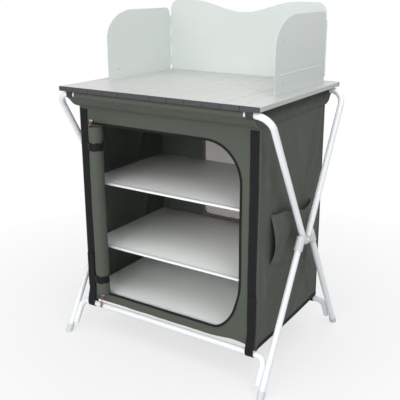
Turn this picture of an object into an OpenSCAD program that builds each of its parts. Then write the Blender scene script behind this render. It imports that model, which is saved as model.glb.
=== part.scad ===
// Folding camp kitchen table: a roll-up slatted top with a folding windscreen on a
// scissor frame of bent tube, and a cloth cabinet with three shelves hung inside it.
// X is to the right, Y to the back and Z up; the origin is on the ground, in the middle.

/* [Preview] */
// Node to show, or all of them

/* [Table top] */
// Width over all the slats
top_width = 700; // [620:2:780]
// Length of a slat over its end caps, front to back
top_depth = 546; // [530:2:600]
// Height of the working surface
top_height = 850; // [840:1:880]
// Thickness of a slat
slat_thickness = 14; // [12:0.5:16]
// Gap between two slats
slat_gap = 1.2; // [0.8:0.1:2]
// Wall of the slat extrusion
slat_wall = 1.2; // [1:0.1:1.6]
// Radius of the slat's long edges
slat_edge_r = 1.5; // [1:0.1:2.5]
// Thickness of an end cap outside the extrusion
cap_flange = 5; // [3:0.5:8]
// Length of an end cap inside the extrusion
cap_plug = 18; // [10:1:30]
// Diameter of the elastic that strings the slats together
elastic_d = 4; // [3:0.5:5]
// Distance of each elastic from the middle of the top
elastic_y = 200; // [150:5:225]

/* [Windscreen] */
// Width between the two wings
screen_width = 606; // [560:2:610]
// Height of the back panel at its shoulders
screen_height = 247; // [230:1:280]
// Depth of the dip in the back panel's top edge
screen_dip = 37; // [0:1:60]
// Half the width of the dip
dip_half = 200; // [150:5:230]
// Radius of the back panel's top corners
shoulder_r = 34; // [20:1:50]
// Length of a wing, front to back
wing_length = 350; // [300:1:360]
// Height of a wing at its highest
wing_height = 220; // [180:1:225]
// Height of a wing's curved front top corner
wing_front_rise = 88; // [50:1:110]
// Length of a wing's curved front top corner
wing_front_reach = 130; // [60:1:160]
// Radius of a wing's rear top corner
wing_rear_r = 24; // [10:1:40]
// Thickness of the sheet
sheet = 1; // [0.8:0.1:1.2]
// Distance of the back panel from the rear edge of the top
screen_inset = 13; // [6:1:30]
// Height of the pressed bead on a wing
wing_bead_height = 54; // [40:1:80]
// Distance of the pressed bead below the dip of the back panel
back_bead_drop = 24; // [15:1:60]

/* [Frame] */
// Diameter of the tube
tube_d = 19; // [18:0.5:20]
// Wall of the tube
tube_wall = 1.2; // [1:0.1:2]
// Distance of the side tubes' middle line outside the top's edge
frame_overhang = 24; // [22:0.5:30]
// Lean of the tubes from upright when the frame is open
lean = 30; // [28:0.5:32]
// Height of the pivots
pivot_height = 404; // [390:1:420]
// Distance of an upper tube's middle line from the pivot
upper_offset = 10; // [10:0.1:11]
// Distance of a leg's middle line from the pivot
lower_offset = 36; // [36:0.5:40]
// Height of the crossbars
crossbar_height = 101.5; // [95:0.5:102]
// Bend radius of the bars under the top
top_bend_r = 45; // [35:1:60]
// Bend radius of the crossbars
cross_bend_r = 26; // [22:1:40]
// Height at which a crossbar's ends stop
crossbar_end = 30; // [26:1:45]

/* [Cabinet] */
// Distance of the cabinet's sides inside the top's edge
cabinet_inset = 25; // [23:0.5:35]
// Distance of the front cloth from the middle
cabinet_front = 213; // [208:1:218]
// Distance of the back cloth from the middle
cabinet_back_y = 222; // [214:1:226]
// Distance of the seam, where the skirt starts, below the working surface
seam_drop = 65; // [60:1:75]
// Height of the lower edge of the cloth
hem_height = 116; // [115:1:122]
// Thickness of a cloth wall
cloth = 2; // [1.5:0.1:2.5]
// Width of the cloth left of the doorway
door_left_margin = 42; // [40:1:55]
// Width of the cloth right of the doorway
door_right_margin = 60; // [53:1:85]
// Distance of the doorway's top below the seam
door_drop = 55; // [45:1:85]
// Bottom of the doorway
door_bottom = 152; // [150:1:160]
// Radius of the doorway's top right corner
door_arch_r = 115; // [60:1:140]
// Length of the curve at the doorway's bottom right corner
low_arch_reach = 100; // [60:1:150]
// Height of the curve at the doorway's bottom right corner
low_arch_rise = 170; // [60:1:200]
// Half the width of the mesh window
window_half = 136; // [80:1:200]
// Bottom of the mesh window
window_bottom = 325; // [300:1:400]
// Top of the mesh window
window_top = 700; // [600:1:740]
// Width of the corner webbing
webbing_width = 27; // [20:1:30]
// Distance of the webbing's outer edge from the cabinet's corner
webbing_inset = 4; // [2:0.5:6]
// Radius of the rolled-up door
roll_r = 23; // [18:0.5:26]
// Width of the straps round the door roll
strap_width = 25; // [15:1:30]

/* [Shelves] */
// Height of the upper face of the bottom shelf
bottom_shelf_z = 157; // [157:1:165]
// Height of the upper face of the middle shelf
middle_shelf_z = 319; // [290:1:350]
// Height of the upper face of the top shelf
top_shelf_z = 537; // [500:1:580]
// Thickness of a shelf board
shelf_thickness = 9; // [6:0.5:10]
// Height of the white trim on a shelf's front edge
trim_height = 11; // [11:0.5:14]
// Distance of the trim's front from the front cloth
shelf_setback = 15; // [10:1:30]

/* [Side pocket] */
// Front edge of the pocket
pocket_front = -150; // [-170:1:-100]
// Back edge of the pocket
pocket_back = 130; // [80:1:150]
// Bottom of the pocket
pocket_bottom = 330; // [280:1:380]
// Top of the pocket
pocket_top = 520; // [480:1:540]
// How far the pocket stands out
pocket_depth = 25; // [15:1:32]

/* [Hidden] */
$fn = 48;
eps = 0.01;
seat = 0.3;        // between soft or curved pieces that lie on each other
fit = 0.05;        // between a piece and the bore it sits in

powder_white = "whitesmoke";
moulded_grey = "lightgray";
cap_grey = "dimgray";
alloy = "silver";
screen_paint = "gainsboro";
olive = "darkslategray";
black = "black";
pull_red = "indianred";

// Table top
slat_count = 12;
slat_pitch = top_width / slat_count;
slat_width = slat_pitch - slat_gap;
slat_under = top_height - slat_thickness;
cabinet_width = top_width - 2 * cabinet_inset;
elastic_hole_r = elastic_d / 2 + 0.5;

// Frame: each half leans by "lean"; "along" runs up the tubes and "across" leaves the pivot
tube_r = tube_d / 2;
side_x = top_width / 2 + frame_overhang;
saddle_seat = 2;
top_bar_z = slat_under - saddle_seat - tube_r;
function along_at(z, across) = (z - pivot_height - across * sin(lean)) / cos(lean);
function y_at(along, across) = across * cos(lean) - along * sin(lean);
top_bar_along = along_at(top_bar_z, -upper_offset);
top_bar_y = y_at(top_bar_along, -upper_offset);
leg_foot_along = along_at(0, lower_offset);
crossbar_along = along_at(crossbar_height, lower_offset);
crossbar_y = y_at(crossbar_along, lower_offset);
crossbar_end_along = along_at(crossbar_end, lower_offset);
crossbar_gap = 0.2;
crossbar_side_x = side_x - tube_d - crossbar_gap;

// Hub
boss_r = 11;
layer_gap = 0.25;
tube_start = 15;           // lower end of an upper tube, measured up from the pivot
shoulder_start = 11.5;     // lower end of the shoulder that an upper tube stands on
leg_top = -11;             // upper end of a leg
clamp_wall = 3.5;
clamp_r = tube_r + clamp_wall;
clamp_top = 1;
sweep_r = 24.2;            // that the other half's shoulder needs to turn in
clamp_bottom = -43;
spigot_length = 30;
cup_gap = 0.4;
rivet_r = 4;
rivet_head_r = 8;
rivet_head_t = 2.5;
foot_wall = 1.6;
foot_height = 24;
foot_gap = 6;              // of plastic under the end of the leg

// Saddles
saddle_length = 22;
saddle_x = side_x - top_bend_r - 2 - saddle_length / 2;
saddle_wall = 3;
saddle_mouth = 12;

// Cloth
half_width = cabinet_width / 2;
seam_height = top_height - seam_drop;
door_left = half_width - door_left_margin;
door_right = half_width - door_right_margin;
door_top = seam_height - door_drop;
skirt_flare_x = 20;
skirt_flare_y = 56;
sleeve_cloth = 1.5;
sleeve_half = saddle_x - saddle_length / 2 - 8;
skirt_top = slat_under - seat;
bar_clear_z = top_bar_z - tube_r - saddle_wall - 2;
bar_clear_y = -top_bar_y - tube_r - saddle_wall - 1;
floor_z = bottom_shelf_z - trim_height - seat - cloth;
front_face = -cabinet_front;
webbing_x = half_width - webbing_inset - webbing_width / 2;
hem_drop = 4;
hem_up = 8;

// Door and zip
roll_gap = 0.2;
roll_x = -door_left + 40;
roll_y = front_face - roll_gap - roll_r;
roll_bottom = door_bottom + 13;
roll_top = door_top - 2;
roll_hollow = 9;
upper_strap_z = 666;
lower_strap_z = 217;
tape_width = 10;
tape_offset = 4;
tape_t = 1.2;
slider_length = 12;
slider_height = 9;
slider_t = 4.5;
slider_back = front_face - 0.2 - tape_t - 0.2;
upper_slider_x = -door_left + 7;
lower_slider_x = -door_left + 21;
upper_slider_z = door_top + tape_offset + tape_width / 2;
lower_slider_z = min(door_bottom - tape_offset - tape_width / 2,
    bottom_shelf_z - trim_height - seat - slider_height / 2);
pull_width = 7;
lug_bore_r = 0.85;
pull_length = 42;
grip_length = 20;
cord_r = 0.9;
lower_pull_tilt = 14;      // the lower pull rests against the crossbar
pull_y = slider_back - slider_t - 1.8;

// Shelves
shelf_half = half_width - cloth - seat;
trim_front = front_face + shelf_setback;
trim_t = 3;
shelf_back = cabinet_back_y - cloth - seat;
trim_lip = 9;

// Windscreen
screen_y = top_depth / 2 - screen_inset;
hinge_x = screen_width / 2;
left_hinge_y = screen_y - 2.5;
right_hinge_y = screen_y - 6;
screen_base = top_height + 0.2;
wing_base = top_height + 0.5;
knuckle_r = 2.6;
hinge_pin_r = 1.4;
knuckle_count = 5;
hinge_low = 16;
hinge_high = 192;
knuckle_pitch = (hinge_high - hinge_low) / knuckle_count;
knuckle_gap = 0.4;
bead_r = 2.2;
bead_proud = 1.1;
flange_depth = 10;
low_rivet = 31;
high_rivet = 150;
rivet_setback = 52;
wing_rivet_r = 3;
wing_rivet_t = 0.8;

// ---- Helpers -----------------------------------------------------------------------

module rounded_rect(width, height, r) {
    translate([r, 0]) square([width - 2 * r, height]);
    translate([0, r]) square([width, height - 2 * r]);
    for (x = [r, width - r], y = [r, height - r]) translate([x, y]) circle(r);
}

// Both mirror images of a piece, left and right
module both_sides() {
    children();
    mirror([1, 0, 0]) children();
}

// The half of the frame that leans forward, or mirrored, the one that leans back.
// Inside it X stays, Y is "across" and Z is "along".
module leaning_frame(forward = true) {
    mirror([0, forward ? 0 : 1, 0])
        translate([0, 0, pivot_height]) rotate([lean, 0, 0]) children();
}

// A length of tube up the frame at one side
module frame_rod(x, across, from, to, r) {
    translate([x, across, from]) cylinder(h = to - from, r = r);
}

// A U of round bar in the leaning plane, with its crown at "crown" and its ends at "end"
module u_rod(x, across, crown, end, bend_r, r) {
    turn = crown > end ? -1 : 1;
    straight = x - bend_r;
    translate([-straight, across, crown]) rotate([0, 90, 0]) cylinder(h = 2 * straight, r = r);
    both_sides() {
        translate([straight, across, crown + turn * bend_r])
            rotate([90, 0, 0]) mirror([0, turn > 0 ? 1 : 0, 0])
                rotate_extrude(angle = 90) translate([bend_r, 0]) circle(r);
        frame_rod(x, across, min(end, crown + turn * bend_r), max(end, crown + turn * bend_r), r);
    }
}

// ---- Table top ---------------------------------------------------------------------

module slat(index) {
    left = -top_width / 2 + (index - 1) * slat_pitch + slat_gap / 2;
    body_length = top_depth - 2 * cap_flange - 2 * fit;
    translate([left, 0, slat_under]) {
        color(alloy) slat_extrusion(body_length);
        color(cap_grey) for (side = [0, 1]) mirror([0, side, 0])
            translate([0, -top_depth / 2, 0]) slat_cap();
        color(black) for (side = [-1, 1])
            translate([fit, side * elastic_y, slat_thickness / 2])
                rotate([0, 90, 0]) cylinder(h = slat_width - 2 * fit, d = elastic_d, $fn = 24);
    }
}

module slat_extrusion(length) {
    inner_r = slat_edge_r - slat_wall / 2;
    difference() {
        translate([0, length / 2, 0]) rotate([90, 0, 0]) linear_extrude(length)
            difference() {
                rounded_rect(slat_width, slat_thickness, slat_edge_r);
                translate([slat_wall, slat_wall])
                    rounded_rect(slat_width - 2 * slat_wall, slat_thickness - 2 * slat_wall, inner_r);
            }
        for (side = [-1, 1])
            translate([-1, side * elastic_y, slat_thickness / 2])
                rotate([0, 90, 0]) cylinder(h = slat_width + 2, r = elastic_hole_r, $fn = 24);
    }
}

module slat_cap() {
    inset = slat_wall + fit;
    inner_r = slat_edge_r - slat_wall / 2;
    translate([0, cap_flange, 0]) rotate([90, 0, 0]) linear_extrude(cap_flange)
        rounded_rect(slat_width, slat_thickness, slat_edge_r);
    translate([inset, cap_flange + cap_plug, inset]) rotate([90, 0, 0])
        linear_extrude(cap_plug + eps) difference() {
            rounded_rect(slat_width - 2 * inset, slat_thickness - 2 * inset, inner_r);
            translate([3, 3]) square([slat_width - 2 * inset - 6, slat_thickness - 2 * inset - 6]);
        }
}

// ---- Windscreen --------------------------------------------------------------------

// Points along part of an ellipse, from one angle to another
function arc(x, y, reach, rise, from, to, steps = 16) =
    [for (i = [0:steps]) let (a = from + (to - from) * i / steps) [x + reach * cos(a), y + rise * sin(a)]];

// Top edge of the back panel: level at the shoulders, with a smooth dip in the middle
function dip_line(steps = 40) =
    [for (i = [0:steps]) let (x = dip_half - 2 * dip_half * i / steps)
        [x, screen_height - screen_dip * (1 + cos(180 * x / dip_half)) / 2]];

module back_outline() {
    half = hinge_x - knuckle_r - 0.6;
    shoulder = screen_height - shoulder_r;
    polygon(concat([[half, 0]], arc(half - shoulder_r, shoulder, shoulder_r, shoulder_r, 0, 90),
        dip_line(), arc(-half + shoulder_r, shoulder, shoulder_r, shoulder_r, 90, 180), [[-half, 0]]));
}

// A wing seen from its side: the hinge is at 0 and the front edge at wing_length
module wing_outline() {
    start = knuckle_r + 0.6;
    polygon(concat([[start, 0]],
        arc(start + wing_rear_r, wing_height - wing_rear_r, wing_rear_r, wing_rear_r, 180, 90, 10),
        arc(wing_length - wing_front_reach, wing_height - wing_front_rise,
            wing_front_reach, wing_front_rise, 90, 0, 24),
        [[wing_length, 0]]));
}

module knuckles(x, y, base, parity) {
    translate([x, y, base + hinge_low])
        for (i = [0:knuckle_count - 1]) if (i % 2 == parity)
            translate([0, 0, i * knuckle_pitch + knuckle_gap / 2])
                difference() {
                    children();
                    translate([0, 0, -1]) cylinder(h = knuckle_pitch + 2, r = hinge_pin_r + fit, $fn = 24);
                }
}

module windscreen_back() {
    bead_z = screen_base + screen_height - screen_dip - back_bead_drop;
    reach = knuckle_r + 1;
    color(screen_paint) {
        translate([0, screen_y + sheet / 2, screen_base]) rotate([90, 0, 0])
            linear_extrude(sheet) back_outline();
        // pressed bead across the panel, and the flange it stands on
        intersection() {
            translate([-dip_half, screen_y + sheet / 2 + bead_proud - bead_r, bead_z])
                rotate([0, 90, 0]) cylinder(h = 2 * dip_half, r = bead_r, $fn = 32);
            translate([-dip_half, screen_y, bead_z - bead_r])
                cube([2 * dip_half, bead_r + bead_proud, 2 * bead_r]);
        }
        translate([-hinge_x + 20, screen_y - sheet / 2, screen_base])
            cube([2 * hinge_x - 40, flange_depth, sheet]);
        knuckles(-hinge_x, left_hinge_y, screen_base, 0) {
            cylinder(h = knuckle_pitch - knuckle_gap, r = knuckle_r, $fn = 32);
        }
        knuckles(hinge_x, right_hinge_y, screen_base, 0) {
            cylinder(h = knuckle_pitch - knuckle_gap, r = knuckle_r, $fn = 32);
        }
        hinge_leaves(-hinge_x, left_hinge_y, reach);
        mirror([1, 0, 0]) hinge_leaves(-hinge_x, right_hinge_y, reach);
    }
}

// Short leaves that join the back panel to its knuckles; the knuckle's bore stays open
module hinge_leaves(x, y, reach) {
    difference() {
        for (i = [0:knuckle_count - 1]) if (i % 2 == 0)
            translate([x, y, screen_base + hinge_low + i * knuckle_pitch + knuckle_gap / 2]) {
                height = knuckle_pitch - knuckle_gap;
                translate([-sheet / 2, 0, 0]) cube([sheet, screen_y + sheet / 2 - y, height]);
                translate([-sheet / 2, screen_y - sheet / 2 - y, 0]) cube([reach + sheet, sheet, height]);
            }
        translate([x, y, screen_base]) cylinder(h = screen_height, r = hinge_pin_r + fit, $fn = 24);
    }
}

module wing(hinge_y) {
    bead_z = wing_base + wing_bead_height;
    bead_length = wing_length - 60;
    translate([hinge_x - sheet / 2, hinge_y, wing_base])
        rotate([90, 0, 90]) mirror([1, 0, 0]) linear_extrude(sheet) wing_outline();
    intersection() {
        translate([hinge_x + sheet / 2 + bead_proud - bead_r, hinge_y - 30, bead_z])
            rotate([90, 0, 0]) cylinder(h = bead_length, r = bead_r, $fn = 32);
        translate([hinge_x, hinge_y - 30 - bead_length, bead_z - bead_r])
            cube([bead_r + bead_proud, bead_length, 2 * bead_r]);
    }
    knuckles(hinge_x, hinge_y, screen_base, 1) {
        cylinder(h = knuckle_pitch - knuckle_gap, r = knuckle_r, $fn = 32);
        translate([-sheet / 2, -knuckle_r - 1, 0])
            cube([sheet, knuckle_r, knuckle_pitch - knuckle_gap]);
    }
}

module windscreen_wing_left() color(screen_paint) mirror([1, 0, 0]) wing(left_hinge_y);

module windscreen_wing_right() color(screen_paint) wing(right_hinge_y);

module windscreen_hinge_pins() color(alloy)
    for (hinge = [[-hinge_x, left_hinge_y], [hinge_x, right_hinge_y]])
        translate([hinge[0], hinge[1], screen_base + hinge_low])
            cylinder(h = hinge_high - hinge_low, r = hinge_pin_r, $fn = 24);

// Two rivets near a wing's front edge, with a low head on each face
module wing_rivets(hinge_y) color(alloy)
    for (height = [low_rivet, high_rivet])
        translate([hinge_x, hinge_y - wing_length + rivet_setback, wing_base + height])
            rotate([0, 90, 0]) for (face = [0, 1]) mirror([0, 0, face])
                translate([0, 0, sheet / 2]) cylinder(h = wing_rivet_t, r = wing_rivet_r, $fn = 24);

// ---- Frame -------------------------------------------------------------------------

module top_bar(forward) color(powder_white) leaning_frame(forward) difference() {
    u_rod(side_x, -upper_offset, top_bar_along, tube_start, top_bend_r, tube_r);
    u_rod(side_x, -upper_offset, top_bar_along, tube_start - 1, top_bend_r, tube_r - tube_wall);
}

module crossbar(forward) color(powder_white) leaning_frame(forward) difference() {
    u_rod(crossbar_side_x, lower_offset, crossbar_along, crossbar_end_along, cross_bend_r, tube_r);
    u_rod(crossbar_side_x, lower_offset, crossbar_along, crossbar_end_along - 1, cross_bend_r,
        tube_r - tube_wall);
}

// A leg; the one on the forward-leaning half stands at the back
module leg(forward, side) color(powder_white) leaning_frame(forward) difference() {
    foot = leg_foot_along + tube_r * tan(lean) + foot_gap;
    frame_rod(side * side_x, lower_offset, foot, leg_top, tube_r);
    frame_rod(side * side_x, lower_offset, foot - 1, leg_top + 1, tube_r - tube_wall);
}

module feet(forward) color(moulded_grey) both_sides() intersection() {
    leaning_frame(forward) difference() {
        foot = leg_foot_along + tube_r * tan(lean) + foot_gap;
        frame_rod(side_x, lower_offset, leg_foot_along - 30, leg_foot_along + foot_height,
            tube_r + foot_wall);
        difference() {
            frame_rod(side_x, lower_offset, foot, leg_foot_along + foot_height + 1, tube_r + fit);
            frame_rod(side_x, lower_offset, foot - 1, leg_foot_along + foot_height - 4,
                tube_r - tube_wall - 0.1);
        }
        // room for the crossbar's end beside the leg
        frame_rod(crossbar_side_x, lower_offset, crossbar_end_along - 1, crossbar_along, tube_r + seat);
    }
    translate([0, -top_depth, 0]) cube([2 * side_x, 2 * top_depth, 2 * side_x]);
}

// One arm of a hub: a clamp for the leg, a shoulder and spigot for the upper tube and
// a web between them in its own layer, "outer" for the half that leans forward
module hub_arm(forward) {
    outer = forward;
    layer_t = tube_r - layer_gap;
    layer_x = outer ? side_x + layer_gap : side_x - tube_r;
    color(moulded_grey) difference() {
        leaning_frame(forward) difference() {
            union() {
                translate([layer_x, 0, 0]) rotate([0, 90, 0]) cylinder(h = layer_t, r = boss_r);
                translate([layer_x, -upper_offset - tube_r, 0])
                    cube([layer_t, tube_d, shoulder_start + 1]);
                translate([layer_x, 0, 0]) rotate([90, 0, 90]) linear_extrude(layer_t)
                    // its upper edge dips where the end of the other half's tube passes over
                    polygon([[0, -boss_r], [lower_offset - 2, clamp_bottom + 8],
                        [lower_offset + 6, clamp_top - 2], [boss_r + 2, 0], [boss_r - 2, 5], [0, 7]]);
                frame_rod(side_x, -upper_offset, shoulder_start, tube_start - 0.1, tube_r);
                frame_rod(side_x, -upper_offset, shoulder_start, tube_start + spigot_length,
                    tube_r - tube_wall - fit);
                difference() {
                    frame_rod(side_x, lower_offset, clamp_bottom, clamp_top, clamp_r);
                    translate([side_x - tube_d, 0, 0]) rotate([0, 90, 0])
                        cylinder(h = 2 * tube_d, r = sweep_r);
                }
            }
            frame_rod(side_x, lower_offset, clamp_bottom - 1, leg_top + 0.1, tube_r + fit);
            translate([side_x - tube_d, 0, 0]) rotate([0, 90, 0])
                cylinder(h = 2 * tube_d, r = rivet_r + fit);
        }
        // the cup that the other half's upper tube rests in
        leaning_frame(!forward)
            frame_rod(side_x, -upper_offset, shoulder_start - cup_gap, 4 * tube_d, tube_r + cup_gap);
    }
}

module pivot_rivets() color(alloy) both_sides()
    translate([side_x, 0, pivot_height]) rotate([0, 90, 0]) {
        translate([0, 0, -tube_r - 0.2]) cylinder(h = tube_d + 0.4, r = rivet_r);
        translate([0, 0, tube_r + 0.2]) cylinder(h = rivet_head_t, r1 = rivet_head_r, r2 = rivet_head_r - 2);
        translate([0, 0, -tube_r - 0.2 - rivet_head_t])
            cylinder(h = rivet_head_t, r1 = rivet_head_r - 2, r2 = rivet_head_r);
    }

// Clips round a top bar, each with a flat seat for the outer slat
module saddles(forward) color(black) both_sides()
    translate([saddle_x - saddle_length / 2, (forward ? 1 : -1) * top_bar_y, top_bar_z])
        rotate([90, 0, 90]) linear_extrude(saddle_length) difference() {
            intersection() {
                union() {
                    circle(tube_r + saddle_wall);
                    translate([-tube_r - saddle_wall, 0]) square(tube_d + 2 * saddle_wall);
                }
                translate([-tube_d, -tube_d]) square([2 * tube_d, tube_d + tube_r + saddle_seat - fit]);
            }
            circle(tube_r + 3 * fit);
            translate([-saddle_mouth / 2, -tube_d]) square([saddle_mouth, tube_d]);
        }

module bar_sleeve(forward) color(olive)
    translate([-sleeve_half, (forward ? 1 : -1) * top_bar_y, top_bar_z]) rotate([0, 90, 0])
        difference() {
            cylinder(h = 2 * sleeve_half, r = tube_r + 0.2 + sleeve_cloth);
            translate([0, 0, -1]) cylinder(h = 2 * sleeve_half + 2, r = tube_r + 0.2);
        }

// ---- Cabinet -----------------------------------------------------------------------

module flared_block(grow, inset, from, to) {
    translate([-half_width + inset, front_face + inset, from])
        cube([2 * (half_width - inset), cabinet_front + cabinet_back_y - 2 * inset, eps]);
    translate([-half_width - skirt_flare_x * grow + inset, front_face - skirt_flare_y * grow + inset, to])
        cube([2 * (half_width + skirt_flare_x * grow - inset),
            cabinet_front + cabinet_back_y + 2 * skirt_flare_y * grow - 2 * inset, eps]);
}

module skirt() color(olive) difference() {
    hull() flared_block(1, 0, seam_height + seat, skirt_top - eps);
    hull() flared_block(1.02, cloth, seam_height + seat - eps, skirt_top + 1);
    for (side = [0, 1]) mirror([0, side, 0])
        translate([-side_x, bar_clear_y, bar_clear_z]) cube([2 * side_x, top_depth, slat_under]);
}

// The doorway's outline, made larger all round except at the left, where the door is sewn on
module doorway(grow) {
    right = door_right + grow;
    low = door_bottom - grow;
    high = door_top + grow;
    r = door_arch_r + grow;
    reach = low_arch_reach + grow;
    rise = low_arch_rise + grow;
    polygon(concat([[-door_left, low]], arc(right - reach, low + rise, reach, rise, 270, 360, 24),
        arc(right - r, high - r, r, r, 0, 90, 24), [[-door_left, high]]));
}

module cabinet_front_cloth() color(olive)
    translate([0, front_face + cloth, 0]) rotate([90, 0, 0]) linear_extrude(cloth) difference() {
        translate([-half_width, hem_height + 4])
            square([cabinet_width, seam_height - hem_height - 4]);
        doorway(0);
    }

module side_cloth(side) color(olive)
    translate([side > 0 ? half_width - cloth : -half_width, front_face + cloth, hem_height])
        cube([cloth, cabinet_front + cabinet_back_y - 2 * cloth, seam_height - hem_height]);

module cabinet_back_cloth() color(olive)
    translate([0, cabinet_back_y, 0]) rotate([90, 0, 0]) linear_extrude(cloth) difference() {
        translate([-half_width, hem_height]) square([cabinet_width, seam_height - hem_height]);
        translate([-window_half, window_bottom]) square([2 * window_half, window_top - window_bottom]);
    }

module cabinet_floor_cloth() color(olive)
    translate([-half_width + cloth + seat, front_face + cloth + seat, floor_z])
        cube([cabinet_width - 2 * (cloth + seat),
            cabinet_front + cabinet_back_y - 2 * (cloth + seat), cloth]);

module mesh_window() color(black)
    translate([-window_half + seat, cabinet_back_y - cloth / 2 - 0.4, window_bottom + seat])
        cube([2 * (window_half - seat), 0.8, window_top - window_bottom - 2 * seat]);

// A strip down each corner that ends in a loop round the crossbar
module webbing_strip(face, bar_y) {
    strip_back = 0.2;
    loop_r = tube_r + seat + cloth;
    difference() {
        union() {
            translate([-webbing_width / 2, face - strip_back - cloth, crossbar_height + tube_r + seat - 1])
                cube([webbing_width, cloth, seam_height - crossbar_height - tube_r]);
            translate([-webbing_width / 2, bar_y, crossbar_height]) rotate([0, 90, 0])
                cylinder(h = webbing_width, r = loop_r);
        }
        translate([-webbing_width, bar_y, crossbar_height]) rotate([0, 90, 0])
            cylinder(h = 2 * webbing_width, r = tube_r + seat);
    }
}

module corner_webbing() color(black) for (side = [-1, 1]) translate([side * webbing_x, 0, 0]) {
    webbing_strip(-cabinet_front, -crossbar_y);
    mirror([0, 1, 0]) webbing_strip(-cabinet_back_y, -crossbar_y);
}

module hem_binding() color(black) both_sides() difference() {
    length = cabinet_front + cabinet_back_y - 2 * cloth;
    translate([half_width - cloth - 1, front_face + cloth, hem_height - hem_drop])
        cube([cloth + 2, length, hem_drop + hem_up]);
    translate([half_width - cloth - fit, front_face, hem_height - fit])
        cube([cloth + 2 * fit, 2 * length, 2 * hem_up]);
}

module side_pocket() color(olive) {
    length = pocket_back - pocket_front;
    bulge_r = (length * length / 4 + pocket_depth * pocket_depth) / (2 * pocket_depth);
    translate([half_width + 0.2, 0, pocket_bottom]) linear_extrude(pocket_top - pocket_bottom)
        difference() {
            pocket_plan(length, bulge_r, 0);
            pocket_plan(length, bulge_r, cloth);
        }
    translate([half_width + 0.2, 0, pocket_bottom]) linear_extrude(cloth)
        pocket_plan(length, bulge_r, 0);
}

// The pocket from above: a shallow arc of cloth against the cabinet's side
module pocket_plan(length, bulge_r, inset) {
    intersection() {
        translate([pocket_depth - bulge_r, pocket_front + length / 2]) circle(bulge_r - inset, $fn = 180);
        translate([inset / 2, pocket_front]) square([pocket_depth, length]);
    }
}

module door_roll() color(olive) {
    translate([roll_x, roll_y, roll_bottom]) difference() {
        cylinder(h = roll_top - roll_bottom, r = roll_r);
        translate([0, 0, -1]) cylinder(h = roll_top - roll_bottom + 2, r = roll_hollow);
    }
    // the turn of cloth that joins the roll to the doorway's edge
    translate([-door_left - 8, front_face - roll_gap - cloth, roll_bottom])
        cube([door_left + 8 + roll_x, cloth, roll_top - roll_bottom]);
}

module roll_straps() color(black) for (z = [lower_strap_z, upper_strap_z])
    translate([roll_x, roll_y, z - strap_width / 2]) difference() {
        cylinder(h = strap_width, r = roll_r + 1.8);
        translate([0, 0, -1]) cylinder(h = strap_width + 2, r = roll_r + 0.2);
        // open where the strap passes the door's own cloth
        translate([-roll_r - 2, 0, -1]) cube([roll_r + 2, roll_r + 2, strap_width + 2]);
    }

module zip_tape() color(black)
    translate([0, front_face - 0.2, 0]) rotate([90, 0, 0]) linear_extrude(tape_t) difference() {
        doorway(tape_offset + tape_width);
        doorway(tape_offset);
    }

module zip_slider(x, z) color(alloy) translate([x - slider_length / 2, 0, z]) {
    translate([0, slider_back, 0]) rotate([90, 0, 0]) linear_extrude(slider_t)
        translate([0, -slider_height / 2]) rounded_rect(slider_length, slider_height, 2);
    // lug that the pull swings on
    translate([slider_length / 2 - 1.5, pull_y - 1.8, -1.8]) difference() {
        cube([3, slider_back - slider_t - pull_y + 1.9, 3.6]);
        translate([-1, 1.8, 1.8]) rotate([0, 90, 0]) cylinder(h = 5, r = lug_bore_r, $fn = 24);
    }
}

// A cord loop with a tubular grip, hanging from its slider
module zip_pull(x, z, tilt = 0) color(pull_red) translate([x, pull_y, z]) rotate([-tilt, 0, 0]) {
    rotate([0, 90, 0]) translate([0, 0, -pull_width / 2])
        cylinder(h = pull_width, r = lug_bore_r - fit, $fn = 24);
    for (side = [-1, 1]) translate([side * (pull_width / 2 - cord_r - 0.2), 0, grip_length - pull_length - 1])
        cylinder(h = pull_length - grip_length + 1.5, r = cord_r, $fn = 24);
    translate([0, 0, -pull_length]) cylinder(h = grip_length, r = pull_width / 2, $fn = 32);
}

// ---- Shelves -----------------------------------------------------------------------

module shelf(height) color(moulded_grey)
    translate([-shelf_half, trim_front + trim_t, height - shelf_thickness - 1])
        cube([2 * shelf_half, shelf_back - trim_front - trim_t, shelf_thickness]);

// A channel of white plastic pushed on the front edge of a shelf
module shelf_trim(height) color(powder_white)
    translate([-shelf_half, trim_front, height - trim_height]) difference() {
        cube([2 * shelf_half, trim_t + trim_lip, trim_height]);
        translate([-1, trim_t - fit, trim_height - 1 - shelf_thickness - fit])
            cube([2 * shelf_half + 2, trim_lip + 1, shelf_thickness + 2 * fit]);
    }

// ---- Assembly ----------------------------------------------------------------------

slat(1);  // slat_01
slat(2);  // slat_02
slat(3);  // slat_03
slat(4);  // slat_04
slat(5);  // slat_05
slat(6);  // slat_06
slat(7);  // slat_07
slat(8);  // slat_08
slat(9);  // slat_09
slat(10);  // slat_10
slat(11);  // slat_11
slat(12);  // slat_12
windscreen_back();
windscreen_wing_left();
windscreen_wing_right();
windscreen_hinge_pins();
mirror([1, 0, 0]) wing_rivets(left_hinge_y);  // wing_rivets_left
wing_rivets(right_hinge_y);  // wing_rivets_right
top_bar(true);  // front_top_bar
top_bar(false);  // rear_top_bar
saddles(true);  // front_saddles
saddles(false);  // rear_saddles
leg(false, -1);  // front_leg_left
leg(false, 1);  // front_leg_right
leg(true, -1);  // rear_leg_left
leg(true, 1);  // rear_leg_right
crossbar(false);  // front_crossbar
crossbar(true);  // rear_crossbar
mirror([1, 0, 0]) hub_arm(true);  // hub_outer_left
hub_arm(true);  // hub_outer_right
mirror([1, 0, 0]) hub_arm(false);  // hub_inner_left
hub_arm(false);  // hub_inner_right
pivot_rivets();
feet(false);  // front_feet
feet(true);  // rear_feet
bar_sleeve(true);  // front_bar_sleeve
bar_sleeve(false);  // rear_bar_sleeve
skirt();
cabinet_front_cloth();
side_cloth(-1);  // cabinet_left_cloth
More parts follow.
